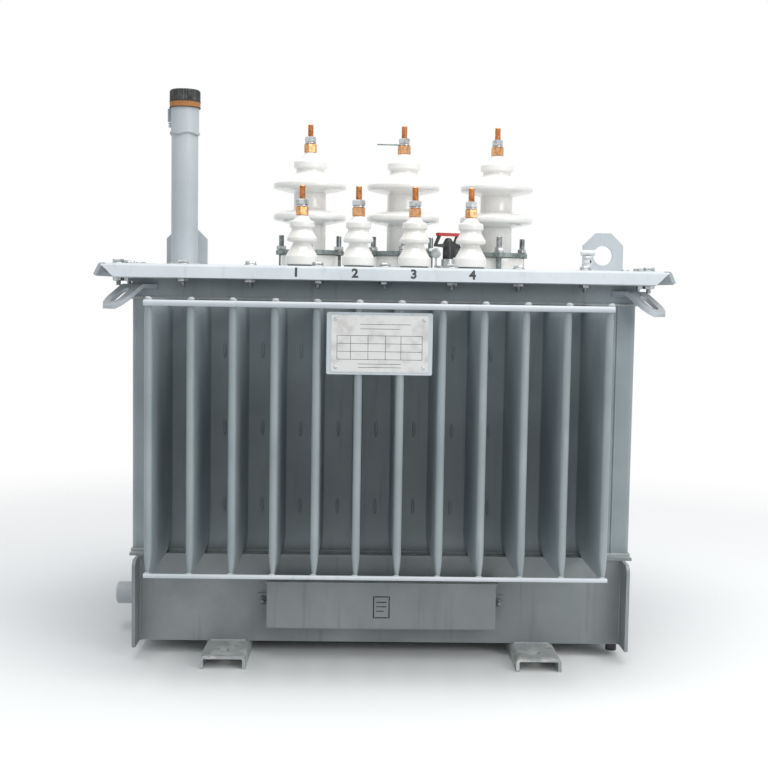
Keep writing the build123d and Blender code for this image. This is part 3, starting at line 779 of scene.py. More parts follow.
class Copies(GeometryTree):
    """Puts one piece on every point of a mesh, turned by the point's own angles."""

    def __init__(self) -> None:
        """Builds the tree."""
        super().__init__("copies", {"Piece": "NodeSocketObject"})
        piece = self.add("GeometryNodeObjectInfo", {"transform_space": "ORIGINAL"},
                         {"Object": self.entry.outputs["Piece"]})
        turn = self.add("GeometryNodeInputNamedAttribute", {"data_type": "FLOAT_VECTOR", "Name": "turn"})
        rotation = self.add("FunctionNodeEulerToRotation", links={0: turn.outputs["Attribute"]})
        placed = self.add("GeometryNodeInstanceOnPoints", links={
            "Points": self.entry.outputs["Geometry"], "Instance": piece.outputs["Geometry"],
            "Rotation": rotation.outputs["Rotation"]})
        self.end(placed.outputs["Instances"])

    def of(self, name: str, piece: Mesh, places: list[Point], turns: list[Point],
           finish: bpy.types.Material) -> Mesh:
        """Copies a piece to places.

        Args:
            name: Name of the result.
            piece: The mesh that is repeated.
            places: Where the copies go.
            turns: Euler angles of each copy.
            finish: Their material.

        Returns:
            The copies as one mesh.
        """
        base = new_mesh(name + "_places", places, [])
        angles = base.attributes.new("turn", "FLOAT_VECTOR", "POINT")
        for item, angle in zip(angles.data, turns):
            item.vector = angle
        seed = bpy.data.objects.new(name + "_seed", piece)
        bpy.context.collection.objects.link(seed)
        mesh = self.run(name, base, {"Piece": seed, "Finish": finish})
        bpy.data.objects.remove(seed)
        return mesh


class Beads(GeometryTree):
    """Lays a rippled weld bead along every chain of edges of a mesh.

    The ripple is a share of the bead's radius, and its waves and the bead's rings are as far apart as on
    a weld that was laid by hand.
    """

    RIPPLE_SHARE = 0.9
    RIPPLE_MM = 7.0
    RING_STEP = 3.5 * MM
    FACES = 6

    def __init__(self) -> None:
        """Builds the tree."""
        super().__init__("weld_beads", {"Radius": "NodeSocketFloat", "Ripple": "NodeSocketFloat",
                                        "Step": "NodeSocketFloat", "Seed": "NodeSocketFloat",
                                        "Sides": "NodeSocketInt"})
        given = self.entry.outputs
        path = self.add("GeometryNodeMeshToCurve", links={"Mesh": given["Geometry"]})
        fine = self.add("GeometryNodeResampleCurve", {"mode": "LENGTH"},
                        {"Curve": path.outputs["Curve"], "Length": given["Step"]})
        place = self.add("GeometryNodeInputPosition")
        wander = self.add("ShaderNodeTexNoise", {
            "noise_dimensions": "4D", "Scale": per_metre(self.RIPPLE_MM), "Detail": 2.0},
            {"Vector": place.outputs["Position"], "W": given["Seed"]})
        half = self.add("ShaderNodeMath", {"operation": "MULTIPLY", 1: -0.5}, {0: given["Ripple"]})
        swing = self.add("ShaderNodeMath", {"operation": "MULTIPLY_ADD"}, {
            0: wander.outputs["Fac"], 1: given["Ripple"], 2: half.outputs["Value"]})
        size = self.add("ShaderNodeMath", {"operation": "ADD"}, {
            0: swing.outputs["Value"], 1: given["Radius"]})
        ring = self.add("GeometryNodeCurvePrimitiveCircle", {"mode": "RADIUS", "Radius": 1.0},
                        {"Resolution": given["Sides"]})
        tube = self.add("GeometryNodeCurveToMesh", {"Fill Caps": True}, {
            "Curve": fine.outputs["Curve"], "Profile Curve": ring.outputs["Curve"],
            "Scale": size.outputs["Value"]})
        self.end(tube.outputs["Mesh"])

    def along(self, name: str, paths: list[list[Point]], radius: float, seed: float,
              finish: bpy.types.Material) -> Mesh:
        """Lays beads along paths.

        Args:
            name: Name of the result.
            paths: The points of each path.
            radius: The bead's radius.
            seed: Start of its unevenness.
            finish: Its material.

        Returns:
            The beads as one mesh.
        """
        edges: list[tuple[int, int]] = []
        start = 0
        for path in paths:
            edges += [(start + i, start + i + 1) for i in range(len(path) - 1)]
            start += len(path)
        base = new_mesh(name + "_paths", [point for path in paths for point in path], [], edges)
        return self.run(name, base, {"Radius": radius, "Ripple": radius * self.RIPPLE_SHARE,
                                     "Step": self.RING_STEP, "Seed": seed, "Sides": self.FACES,
                                     "Finish": finish})


class Workshop:
    """Keeps the made materials and node trees, and turns meshes into pieces of the object."""

    def __init__(self) -> None:
        """Makes every material and both trees."""
        self.materials = {paint: paint.value.build() for paint in Paint}
        self.copies = Copies()
        self.beads = Beads()

    def repaint(self, node: str, paint: Paint) -> None:
        """Gives a node of the frame its finish.

        Args:
            node: The node's name.
            paint: Its finish.
        """
        obj = frame["nodes"][node]
        obj.data.materials.clear()
        obj.data.materials.append(self.materials[paint])

    def piece(self, name: str, mesh: Mesh, paint: Paint, crease: Crease = Crease.MACHINED,
              body: str = BODY) -> bpy.types.Object:
        """Adds a mesh to the object as a named piece.

        Args:
            name: The piece's name.
            mesh: Its mesh, in place.
            paint: Its finish.
            crease: Which of its edges stay sharp.
            body: The body that it moves with.

        Returns:
            The piece.
        """
        mesh.materials.clear()
        mesh.materials.append(self.materials[paint])
        mesh.shade_smooth()
        mesh.set_sharp_from_angle(angle=math.radians(crease.value))
        obj = bpy.data.objects.new(name, mesh)
        bpy.context.collection.objects.link(obj)
        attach(obj, body)
        log.info("%s: %d faces", name, len(mesh.polygons))
        return obj

    def spread(self, name: str, mesh: Mesh, places: list[Point], paint: Paint,
               crease: Crease = Crease.MACHINED, turns: list[Point] | None = None,
               body: str = BODY) -> bpy.types.Object:
        """Copies a mesh to places, as one piece.

        Args:
            name: The piece's name.
            mesh: What is copied.
            places: Where the copies go.
            paint: Their finish.
            crease: Which edges stay sharp.
            turns: Euler angles of each copy.
            body: The body that they move with.

        Returns:
            The piece.
        """
        angles = turns or [(0.0, 0.0, 0.0)] * len(places)
        row = self.copies.of(name, mesh, places, angles, self.materials[paint])
        return self.piece(name, row, paint, crease, body)

    def weld(self, name: str, paths: list[list[Point]], radius: float, seed: float, paint: Paint = Paint.WELD,
             crease: Crease = Crease.MELTED) -> None:
        """Lays weld beads along paths, as one piece.

        Args:
            name: The piece's name.
            paths: The points of each path.
            radius: The bead's radius.
            seed: Start of its unevenness.
            paint: Its finish.
            crease: Which edges stay sharp.
        """
        self.piece(name, self.beads.along(name, paths, radius, seed, self.materials[paint]), paint, crease)


def middle(node: str) -> Vector:
    """Gives the middle of a node's box."""
    low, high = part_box(node)
    return (low + high) / 2


@dataclass
class FinPacks:
    """Flat oil pockets on both long walls, their closing welds, and the tie rods across their noses."""

    shop: Workshop
    count: int = 12
    thickness: float = 13.4 * MM
    pinch: float = 3.2 * MM
    pinch_foot: float = 46 * MM
    pinch_top: float = 24 * MM
    pinch_ease: float = 0.8
    rings: int = 7
    ring_gather: float = 1.3
    nose_steps: int = 12
    root: float = 195 * MM
    root_flare: float = 5 * MM
    weld_radius: float = 2.2 * MM
    weld_inset: float = 1 * MM
    weld_short: float = 2 * MM
    rod_radii: tuple[float, float] = (5 * MM, 3.6 * MM)
    rod_edge: float = 1.2 * MM
    blob_radius: float = 6.4 * MM
    # Shift along X, outwards and up of the lumps at the upper and the lower rod
    blob_shifts: tuple[Point, Point] = ((1.5 * MM, 0.5 * MM, 0.5 * MM), (-1 * MM, -1 * MM, 5.5 * MM))

    def columns(self, side: str) -> list[float]:
        """Gives the X of every pocket's middle plane.

        Args:
            side: The side's name.

        Returns:
            The places along X, from the left.
        """
        low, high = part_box(f"{side}_fins")
        pitch = (high.x - low.x - self.thickness) / (self.count - 1)
        return [low.x + self.thickness / 2 + i * pitch for i in range(self.count)]

    def half_at(self, height: float, low: float, high: float) -> float:
        """Gives half the pocket's thickness at a height, pinched softly towards both ends.

        Args:
            height: The height asked for.
            low: The pocket's lower end.
            high: Its upper end.

        Returns:
            Half the thickness there.
        """
        reach = min((height - low) / self.pinch_foot, (high - height) / self.pinch_top)
        share = min(max(reach, 0.0), 1.0)
        eased = math.sin(share * QUARTER) ** self.pinch_ease
        return (self.pinch + (self.thickness - self.pinch) * eased) / 2

    def levels(self, low: float, high: float) -> list[float]:
        """Gives the heights of the pocket's rings, close together at the pinched ends.

        Args:
            low: The pocket's lower end.
            high: Its upper end.

        Returns:
            The heights, from the foot up.
        """
        steps = [(i / self.rings) ** self.ring_gather for i in range(self.rings + 1)]
        middles = [low + (high - low) * share for share in (0.25, 0.4, 0.6, 0.75)]
        return ([low + self.pinch_foot * step for step in steps] + middles
                + [high - self.pinch_top * step for step in reversed(steps)])

    def pocket(self, nose: float, low: float, high: float) -> Mesh:
        """Makes one front pocket at X 0.

        Args:
            nose: Distance of the nose from the tank's middle plane.
            low: The pocket's lower end.
            high: Its upper end.

        Returns:
            The closed mesh.
        """
        rings: list[list[Point]] = []
        for z in self.levels(low, high):
            half = self.half_at(z, low, high)
            flared = half + self.root_flare / 2
            turns = [math.pi * k / self.nose_steps for k in range(self.nose_steps + 1)]
            arc = [(-half * math.cos(turn), half - nose - half * math.sin(turn)) for turn in turns]
            section = [(-flared, -self.root), (-half, -self.root - self.root_flare), *arc,
                       (half, -self.root - self.root_flare), (flared, -self.root)]
            rings.append([(x, y, z) for x, y in section])
        return lofted("pocket", rings)

    def blob(self) -> Mesh:
        """Makes the lump of weld that ties a rod to a nose."""
        shares = [(0.0, -0.7), (0.8, -0.5), (1.0, 0.0), (0.75, 0.55), (0.0, 0.75)]
        profile = [(self.blob_radius * out, self.blob_radius * rise) for out, rise in shares]
        return turned("blob", rounded(profile, [0, 1 * MM, 2 * MM, 1 * MM, 0], 3), 12)

    def rods(self, side: str, out: int, nose: float) -> None:
        """Lays the stout upper rod and the thin lower rod across the noses, and welds them on.

        Args:
            side: The side's name.
            out: Which way along Y it faces.
            nose: Distance of the noses from the tank's middle plane.
        """
        low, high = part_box(f"{side}_rods")
        inset = (high.y - low.y) / 2
        bars = []
        for radius, z in zip(self.rod_radii, (high.z - inset, low.z + inset)):
            bar = round_bar("rod", radius, 0.0, high.x - low.x, 20, self.rod_edge)
            place = Matrix.Translation((low.x, out * (nose + radius), z)) @ Matrix.Rotation(QUARTER, 4, "Y")
            bars.append((bar, place))
        # The rods wear the lid's paler coat, a painted highlight for the sky light on them
        piece = self.shop.piece(f"{side}_tie_rods", joined("tie_rods", bars), Paint.LID, Crease.ROUNDED)
        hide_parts(f"{side}_rods")
        places = [(x + along, out * (nose + away), level + rise) for x in self.columns(side)
                  for (along, away, rise), level in zip(self.blob_shifts, (high.z, low.z))]
        turns = [(0.2 * math.sin(5.0 * i), 0.3 * math.cos(3.0 * i), 1.7 * i) for i in range(len(places))]
        self.shop.spread(f"{side}_rod_welds", self.blob(), places, Paint.WELD, Crease.MELTED, turns)

    def build(self) -> None:
        """Makes the pockets, their closing welds and the rods on both sides."""
        for side, out in SIDES:
            low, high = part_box(f"{side}_fins")
            nose = max(abs(low.y), abs(high.y))
            columns = self.columns(side)
            piece = self.shop.spread(f"{side}_pockets", self.pocket(nose, low.z, high.z),
                                     [(x, 0.0, 0.0) for x in columns], Paint.TANK, Crease.PRESSED,
                                     [(0.0, 0.0, QUARTER * (1 + out))] * self.count)
            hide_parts(f"{side}_fins")
            ends = [[(x, out * self.root, z), (x, out * (nose - self.weld_short), z)]
                    for x in columns for z in (low.z + self.weld_inset, high.z - self.weld_inset)]
            self.shop.weld(f"{side}_pocket_welds", ends, self.weld_radius, seed=3 - out, paint=Paint.TANK,
                           crease=Crease.CLOSED)
            self.rods(side, out, nose)


@dataclass
class TankShell:
    """Small relief of the tank and tray: pressed ovals in the valleys, and the welds between the sheets."""

    shop: Workshop
    fins: FinPacks
    oval_width: float = 6.5 * MM
    oval_height: float = 30 * MM
    oval_depth: float = 3.2 * MM
    oval_sides: int = 16
    oval_rings: int = 4
    oval_levels: tuple[float, ...] = (269 * MM, 409 * MM, 549 * MM)
    loop_radius: float = 3.2 * MM
    seam_radius: float = 2.2 * MM
    tray_radius: float = 2.8 * MM
    foot_rise: float = 0.5 * MM
    ledge_reach: float = 6 * MM
    ledge_sheet: float = 5 * MM

    def oval(self) -> Mesh:
        """Makes one pressed oval that stands off the front wall."""
        rings: list[list[Point]] = []
        for k in range(self.oval_rings):
            angle = QUARTER * k / (self.oval_rings - 1)
            # The last ring is a small flat, and the oval narrows faster than it gets shorter
            share = math.cos(0.9 * angle)
            wide = self.oval_width / 2 * share
            tall = self.oval_height / 2 * (0.35 + 0.65 * share)
            turns = [math.tau * i / self.oval_sides for i in range(self.oval_sides)]
            rings.append([(wide * math.cos(turn), -self.oval_depth * math.sin(angle), tall * math.sin(turn))
                          for turn in turns])
        return lofted("oval", rings)

    def ovals(self) -> None:
        """Puts three pressed ovals in every valley of both walls."""
        for side, out in SIDES:
            face = out * max(abs(corner.y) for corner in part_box(f"tank_{side}_wall"))
            columns = self.fins.columns(side)
            places = [((left + right) / 2, face, z) for left, right in zip(columns, columns[1:])
                      for z in self.oval_levels]
            self.shop.spread(f"{side}_pressed_ovals", self.oval(), places, Paint.TANK, Crease.MELTED,
                             [(0.0, 0.0, QUARTER * (1 + out))] * len(places))

    def welds(self) -> None:
        """Lays the beads round the tank's top and foot, at its upright seams and in the tray's corners."""
        low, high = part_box("tank_left_end")
        x, y = abs(low.x), high.y
        loop = [(-x, -y), (x, -y), (x, y), (-x, y), (-x, -y)]
        rims = [[(*spot, level) for spot in loop] for level in (low.z + self.foot_rise, high.z)]
        self.shop.weld("tank_welds", rims, self.loop_radius, seed=7.0)
        seam_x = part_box("tank_front_wall")[1].x
        seams = [[(sx * seam_x, sy * y, low.z), (sx * seam_x, sy * y, high.z)]
                 for sx in (-1, 1) for sy in (-1, 1)]
        self.shop.weld("tank_seam_welds", seams, self.seam_radius, seed=11.0, paint=Paint.TANK)
        tray_low, tray_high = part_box("tray_right_end")
        plate_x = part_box("tray_floor")[1].x
        wall_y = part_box("tray_back_wall")[1].y - self.ledge_reach
        inner = [[(sx * plate_x, sy * wall_y, z) for z in (tray_low.z, tray_high.z - self.ledge_sheet)]
                 for sx in (-1, 1) for sy in (-1, 1)]
        self.shop.weld("tray_welds", inner, self.tray_radius, seed=5.0, paint=Paint.TRAY)

    def build(self) -> None:
        """Makes the ovals and the welds."""
        self.ovals()
        self.welds()


@dataclass
class LidBolts:
    """Bolts round the lid: heads and washers above, nuts and threaded ends below the rim."""

    shop: Workshop
    pitch: float = 119 * MM
    outer: float = 470.7 * MM
    shift: float = -2 * MM
    across: float = 18 * MM
    head: float = 5.5 * MM
    nut: float = 11.5 * MM
    washer: float = 1.8 * MM
    washer_radius: float = 11.5 * MM
    washer_edge: float = 0.5 * MM
    shank: float = 4.6 * MM
    flange: float = 8 * MM
    end: float = 661 * MM

    def places(self) -> Profile:
        """Gives the bolts' places in plan, along the middle of the gasket."""
        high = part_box("lid_gasket")[1]
        inset = (high.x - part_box("tank_right_end")[1].x) / 2
        columns = [-self.outer, *(i * self.pitch for i in range(-3, 4)), self.outer]
        long_rows = [(x + self.shift, sy * (high.y - inset)) for x in columns for sy in (-1, 1)]
        return long_rows + [(sx * (high.x - inset), i * self.pitch) for i in (-1, 0, 1) for sx in (-1, 1)]

    def build(self) -> None:
        """Makes the heads, washers, nuts and ends."""
        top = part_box("lid")[1].z
        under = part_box("rim_frame")[1].z - self.flange
        washer = round_bar("washer", self.washer_radius, 0.0, self.washer, 24, self.washer_edge, 1)
        upper = joined("bolt_head", [(washer, STILL),
                                     (hexagon_nut("head", self.across, self.head), up(self.washer))])
        lower = joined("bolt_nut", [
            (washer, up(-self.washer)),
            (hexagon_nut("nut", self.across, self.nut), up(-self.washer - self.nut)),
            (threaded("stud", self.shank, self.end - under, 0.0, COARSE_PITCH), STILL)])
        spots = self.places()
        turns = [(0.0, 0.0, 0.9 * i) for i in range(len(spots))]
        for name, mesh, level in (("lid_bolt_heads", upper, top), ("lid_bolt_nuts", lower, under)):
            self.shop.spread(name, mesh, [(x, y, level) for x, y in spots], Paint.ZINC, turns=turns)


@dataclass
class Bushings:
    """Porcelain insulators with their clamps, terminals and nuts.

    The outlines are in millimetres, the porcelain's from the lid up. A nut has its width and its height.
    """

    shop: Workshop
    hv_foot: tuple[Corner, ...] = ((0, 4, 0), (58, 4, 3), (58, 29.5, 4), (38.5, 30.5, 2), (32.5, 34, 4))
    hv_shed: float = 73.5
    # Level of each shed, the way from there to its upper waist, and the radii of its lower and upper waist
    hv_sheds: tuple[tuple[float, float, float, float], ...] = ((104, 15, 32.5, 32.5), (167, 27, 32.5, 28))
    hv_head: tuple[Corner, ...] = ((28, 200, 2), (33.5, 203.5, 2.2), (33.5, 215.5, 3.5), (22, 219, 4),
                                   (13, 231, 1), (13, 233.5, 0.6), (0, 233.5, 0))
    lv_corners: tuple[Corner, ...] = (
        (0, 3.5, 0), (29.5, 3.5, 2.4), (29.5, 19, 4), (17, 42, 5), (17, 44.5, 1), (27.5, 46.5, 2.4),
        (27.5, 52.5, 2.8), (19.3, 66.5, 4), (19.3, 70, 0.6), (22.8, 72, 2), (22.8, 82.5, 3), (16, 85, 3),
        (11.5, 91.5, 1), (11.5, 93, 0.5), (0, 93, 0))
    hv_top: float = 233.5 * MM
    lv_top: float = 93 * MM
    stud_radius: float = 6 * MM
    hv_brass: tuple[float, float] = (22.5 * MM, 18.5 * MM)
    lv_brass: tuple[float, float] = (20.5 * MM, 17 * MM)
    hv_zinc: tuple[float, float] = (19 * MM, 12 * MM)
    lv_zinc: tuple[float, float] = (21 * MM, 11 * MM)
    washer: float = 2.2 * MM
    clamp_circle: float = 68 * MM
    clamp_depth: float = 31 * MM
    clamp_washer: tuple[float, float] = (10 * MM, 2 * MM)
    clamp_nut: tuple[float, float] = (17 * MM, 8 * MM)
    clamp_stud: tuple[float, float] = (5.8 * MM, 31.4 * MM)
    pin_corners: tuple[Corner, ...] = ((0, 0, 0), (1.3, 0, 0), (1.3, 54, 0), (0.6, 55, 0), (0, 55, 0))

    def tall(self) -> Mesh:
        """Turns the tall insulator: foot, two sheds with hollow tops, collar and tip."""
        rows = list(self.hv_foot)
        # Each shed has a hollow underside, a blunt rim and a top that slopes up in a curve
        for level, over, below, above in self.hv_sheds:
            rows += [(below, level - 15, 3), (below + 16, level - 12, 10), (self.hv_shed, level - 6.5, 5.8),
                     (self.hv_shed, level + 5.5, 5.5), (above + 24, level + 12, 20), (above, level + over, 7)]
        return turned("porcelain", outline(rows + list(self.hv_head), 6), 64)

    def short(self) -> Mesh:
        """Turns the short insulator: conical foot, skirt, collar and tip."""
        return turned("porcelain", outline(list(self.lv_corners), 5), 64)

    def terminals(self, kind: str, places: list[Point], seat: float, brass: tuple[float, float],
                  zinc: tuple[float, float]) -> None:
        """Makes the studs and nuts of one kind of bushing.

        Args:
            kind: Its short name.
            places: Where the bushings stand on the lid.
            seat: Height of the porcelain's tip above the lid.
            brass: The brass nut's width and height.
            zinc: The zinc nut's width and height.
        """
        foot, tip = (corner.z - places[0][2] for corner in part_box(f"{kind}_terminals"))
        above = seat + brass[1]
        radius = brass[0] / 2
        worn = 0.98 * radius
        ring = turned("ring", [(0, 0), (worn, 0), (radius, self.washer / 2), (worn, self.washer),
                               (0, self.washer)], 24)
        stud = joined("stud", [(threaded("thread", self.stud_radius, foot, tip, COARSE_PITCH, 20), STILL),
                               (hexagon_nut("nut", *brass), up(seat))])
        nuts = joined("nuts", [(ring, up(above)), (hexagon_nut("nut", *zinc), up(above + self.washer))])
        piece = self.shop.spread(f"{kind}_studs", stud, places, Paint.BRASS,
                                 turns=[(0.0, 0.0, 0.7 * i + 0.3) for i in range(len(places))])
        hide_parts(f"{kind}_terminals")
        self.shop.spread(f"{kind}_lock_nuts", nuts, places, Paint.ZINC,
                         turns=[(0.0, 0.0, 1.9 * i) for i in range(len(places))])

    def clamp_nuts(self) -> None:
        """Puts nuts and washers on the three studs of each clamp ring."""
        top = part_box("hv_clamps")[1].z - self.clamp_depth
        radius, sheet = self.clamp_washer
        stud_radius, stud_end = self.clamp_stud
        nut = joined("clamp_nut", [
            (round_bar("washer", radius, 0.0, sheet, 20), STILL),
            (hexagon_nut("nut", *self.clamp_nut), up(sheet)),
            (threaded("thread", stud_radius, sheet, stud_end, FINE_PITCH), STILL)])
        places = []
        for centre in (middle(f"hv_insulator_{i + 1}") for i in range(3)):
            for angle in (math.radians(120 * k - 90) for k in range(3)):
                places.append((centre.x + self.clamp_circle * math.cos(angle),
                               centre.y + self.clamp_circle * math.sin(angle), top))
        self.shop.spread("clamp_nuts", nut, places, Paint.ZINC,
                         turns=[(0.0, 0.0, 1.1 * i) for i in range(len(places))])

    def wire_pin(self) -> None:
        """Pushes a thin pin sideways through the middle tall stud, above its brass nut."""
        centre = middle("hv_insulator_2")
        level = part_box("lid")[1].z + self.hv_top + self.hv_brass[1] + self.washer / 2
        pin = turned("pin", outline(list(self.pin_corners), 1), 12)
        self.shop.spread("wire_pin", pin, [(centre.x, centre.y, level)], Paint.CLAMP, Crease.ROUNDED,
                         [(0, -QUARTER, 0)])

    def build(self) -> None:
        """Makes all the insulators and what is on them."""
        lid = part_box("lid")[1].z
        for kind, count, mesh, *fittings in (
                ("hv", 3, self.tall(), self.hv_top, self.hv_brass, self.hv_zinc),
                ("lv", 4, self.short(), self.lv_top, self.lv_brass, self.lv_zinc)):
            nodes = [f"{kind}_insulator_{i + 1}" for i in range(count)]
            places = [(middle(node).x, middle(node).y, lid) for node in nodes]
            piece = self.shop.spread(f"{kind}_porcelain", mesh, places, Paint.PORCELAIN, Crease.MELTED,
                                     [(0.0, 0.0, 0.5 * i) for i in range(count)])
            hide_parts(*nodes)
            self.terminals(kind, places, *fittings)
        self.clamp_nuts()
        self.wire_pin()


@dataclass
class FillerPipe:
    """Upper sleeve, welds, strap and ribbed cap of the filler pipe."""

    shop: Workshop
    ribs: int = 36
    rib_depth: float = 0.9 * MM
    cap_edge: float = 2.5 * MM
    crown: float = 6 * MM
    skirt: float = 2 * MM
    grip_gaps: tuple[float, float] = (1.5 * MM, 0.5 * MM)
    sleeve_reach: float = 1.3 * MM
    sleeve_foot: float = 946 * MM
    seal_radius: float = 0.8 * MM
    sleeve_weld: float = 2.4 * MM
    sleeve_sway: float = 2 * MM
    foot_weld: float = 5 * MM
    weld_reach: float = 1 * MM
    strap_width: float = 9 * MM
    strap_reach: float = 5.5 * MM
    strap_root: float = 2 * MM
    strap_edge: float = 1 * MM
    # How far below the tan ring the strap ends, starts, and has its screw
    strap_drops: Point = (2 * MM, 26 * MM, 32 * MM)
    screw: tuple[float, float] = (8 * MM, 4.5 * MM)

    def circle(self, centre: Vector, radius: float, level: float, sway: float = 0.0) -> list[list[Point]]:
        """Gives a closed path round the pipe, which may sway up and down four times.

        Args:
            centre: The pipe's middle.
            radius: The path's radius.
            level: Its height.
            sway: How far it goes up and down.

        Returns:
            A list that holds the one path.
        """
        turns = [math.tau * i / 48 for i in range(49)]
        return [[(centre.x + radius * math.cos(turn), centre.y + radius * math.sin(turn),
                  level + sway * math.sin(4 * turn)) for turn in turns]]

    def cap(self, low: float, high: float, radius: float) -> Mesh:
        """Makes the ribbed cap round the Z axis.

        Args:
            low: Its foot.
            high: Its top.
            radius: Its radius over the ribs.

        Returns:
            The mesh.
        """
        inner = radius - self.rib_depth
        corners = 2 * self.ribs
        ribbed = [((inner if i % 2 else radius) * math.cos(math.tau * i / corners),
                   (inner if i % 2 else radius) * math.sin(math.tau * i / corners)) for i in range(corners)]
        grip = plate("grip", ribbed, low + self.grip_gaps[0], high - self.cap_edge - self.grip_gaps[1])
        base = high - self.crown
        crown = turned("crown", rounded([(0, base), (inner, base), (inner, high), (0, high)],
                                        [0, 0, self.cap_edge, 0]))
        skirt = round_bar("skirt", inner, low, low + self.skirt)
        return joined("cap", [(grip, STILL), (crown, STILL), (skirt, STILL)])

    def top(self, centre: Vector, reach: float) -> None:
        """Makes the cap, the sleeve and the tan ring's two seals.

        Args:
            centre: The pipe's middle.
            reach: The sleeve's radius.
        """
        ring_low, ring_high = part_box("filler_ring")
        cap_low, cap_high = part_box("filler_cap")
        place = [(centre.x, centre.y, 0.0)]
        cap = self.cap(cap_low.z, cap_high.z, (cap_high.x - cap_low.x) / 2)
        piece = self.shop.spread("ribbed_cap", cap, place, Paint.BLACK, Crease.RIBBED)
        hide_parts("filler_cap")
        sleeve = round_bar("sleeve", reach, self.sleeve_foot, ring_low.z)
        self.shop.spread("pipe_sleeve", sleeve, place, Paint.FITTING, Crease.ROUNDED)
        radius = (ring_high.x - ring_low.x) / 2
        seals = self.circle(centre, radius, ring_low.z) + self.circle(centre, radius, ring_high.z)
        self.shop.weld("ring_seals", seals, self.seal_radius, seed=2.0, paint=Paint.RUBBER)

    def strap(self, centre: Vector, side: float, ring: float) -> None:
        """Makes the strap on the pipe's left, below the ring, and its screw.

        Args:
            centre: The pipe's middle.
            side: The X of the sleeve's left side.
            ring: The foot of the tan ring.
        """
        half = self.strap_width / 2
        end, start, screw = self.strap_drops
        strap = box_mesh("pipe_strap", (side - self.strap_reach, centre.y - half, ring - start),
                         (side + self.strap_root, centre.y + half, ring - end), self.strap_edge)
        self.shop.piece("pipe_strap", strap, Paint.TANK)
        self.shop.spread("strap_screw", hexagon_nut("screw", *self.screw), [(side, centre.y, ring - screw)],
                         Paint.ZINC, turns=[(0, -QUARTER, 0)])

    def build(self) -> None:
        """Makes the pieces."""
        low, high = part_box("filler_pipe")
        centre = middle("filler_pipe")
        radius = (high.x - low.x) / 2
        reach = radius + self.sleeve_reach
        self.top(centre, reach)
        under = radius + self.weld_reach
        self.shop.weld("sleeve_weld", self.circle(centre, under, self.sleeve_foot, self.sleeve_sway),
                       self.sleeve_weld, seed=4.0)
        self.shop.weld("pipe_foot_weld", self.circle(centre, under, low.z + self.weld_reach),
                       self.foot_weld, seed=9.0)
        self.strap(centre, centre.x - reach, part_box("filler_ring")[0].z)


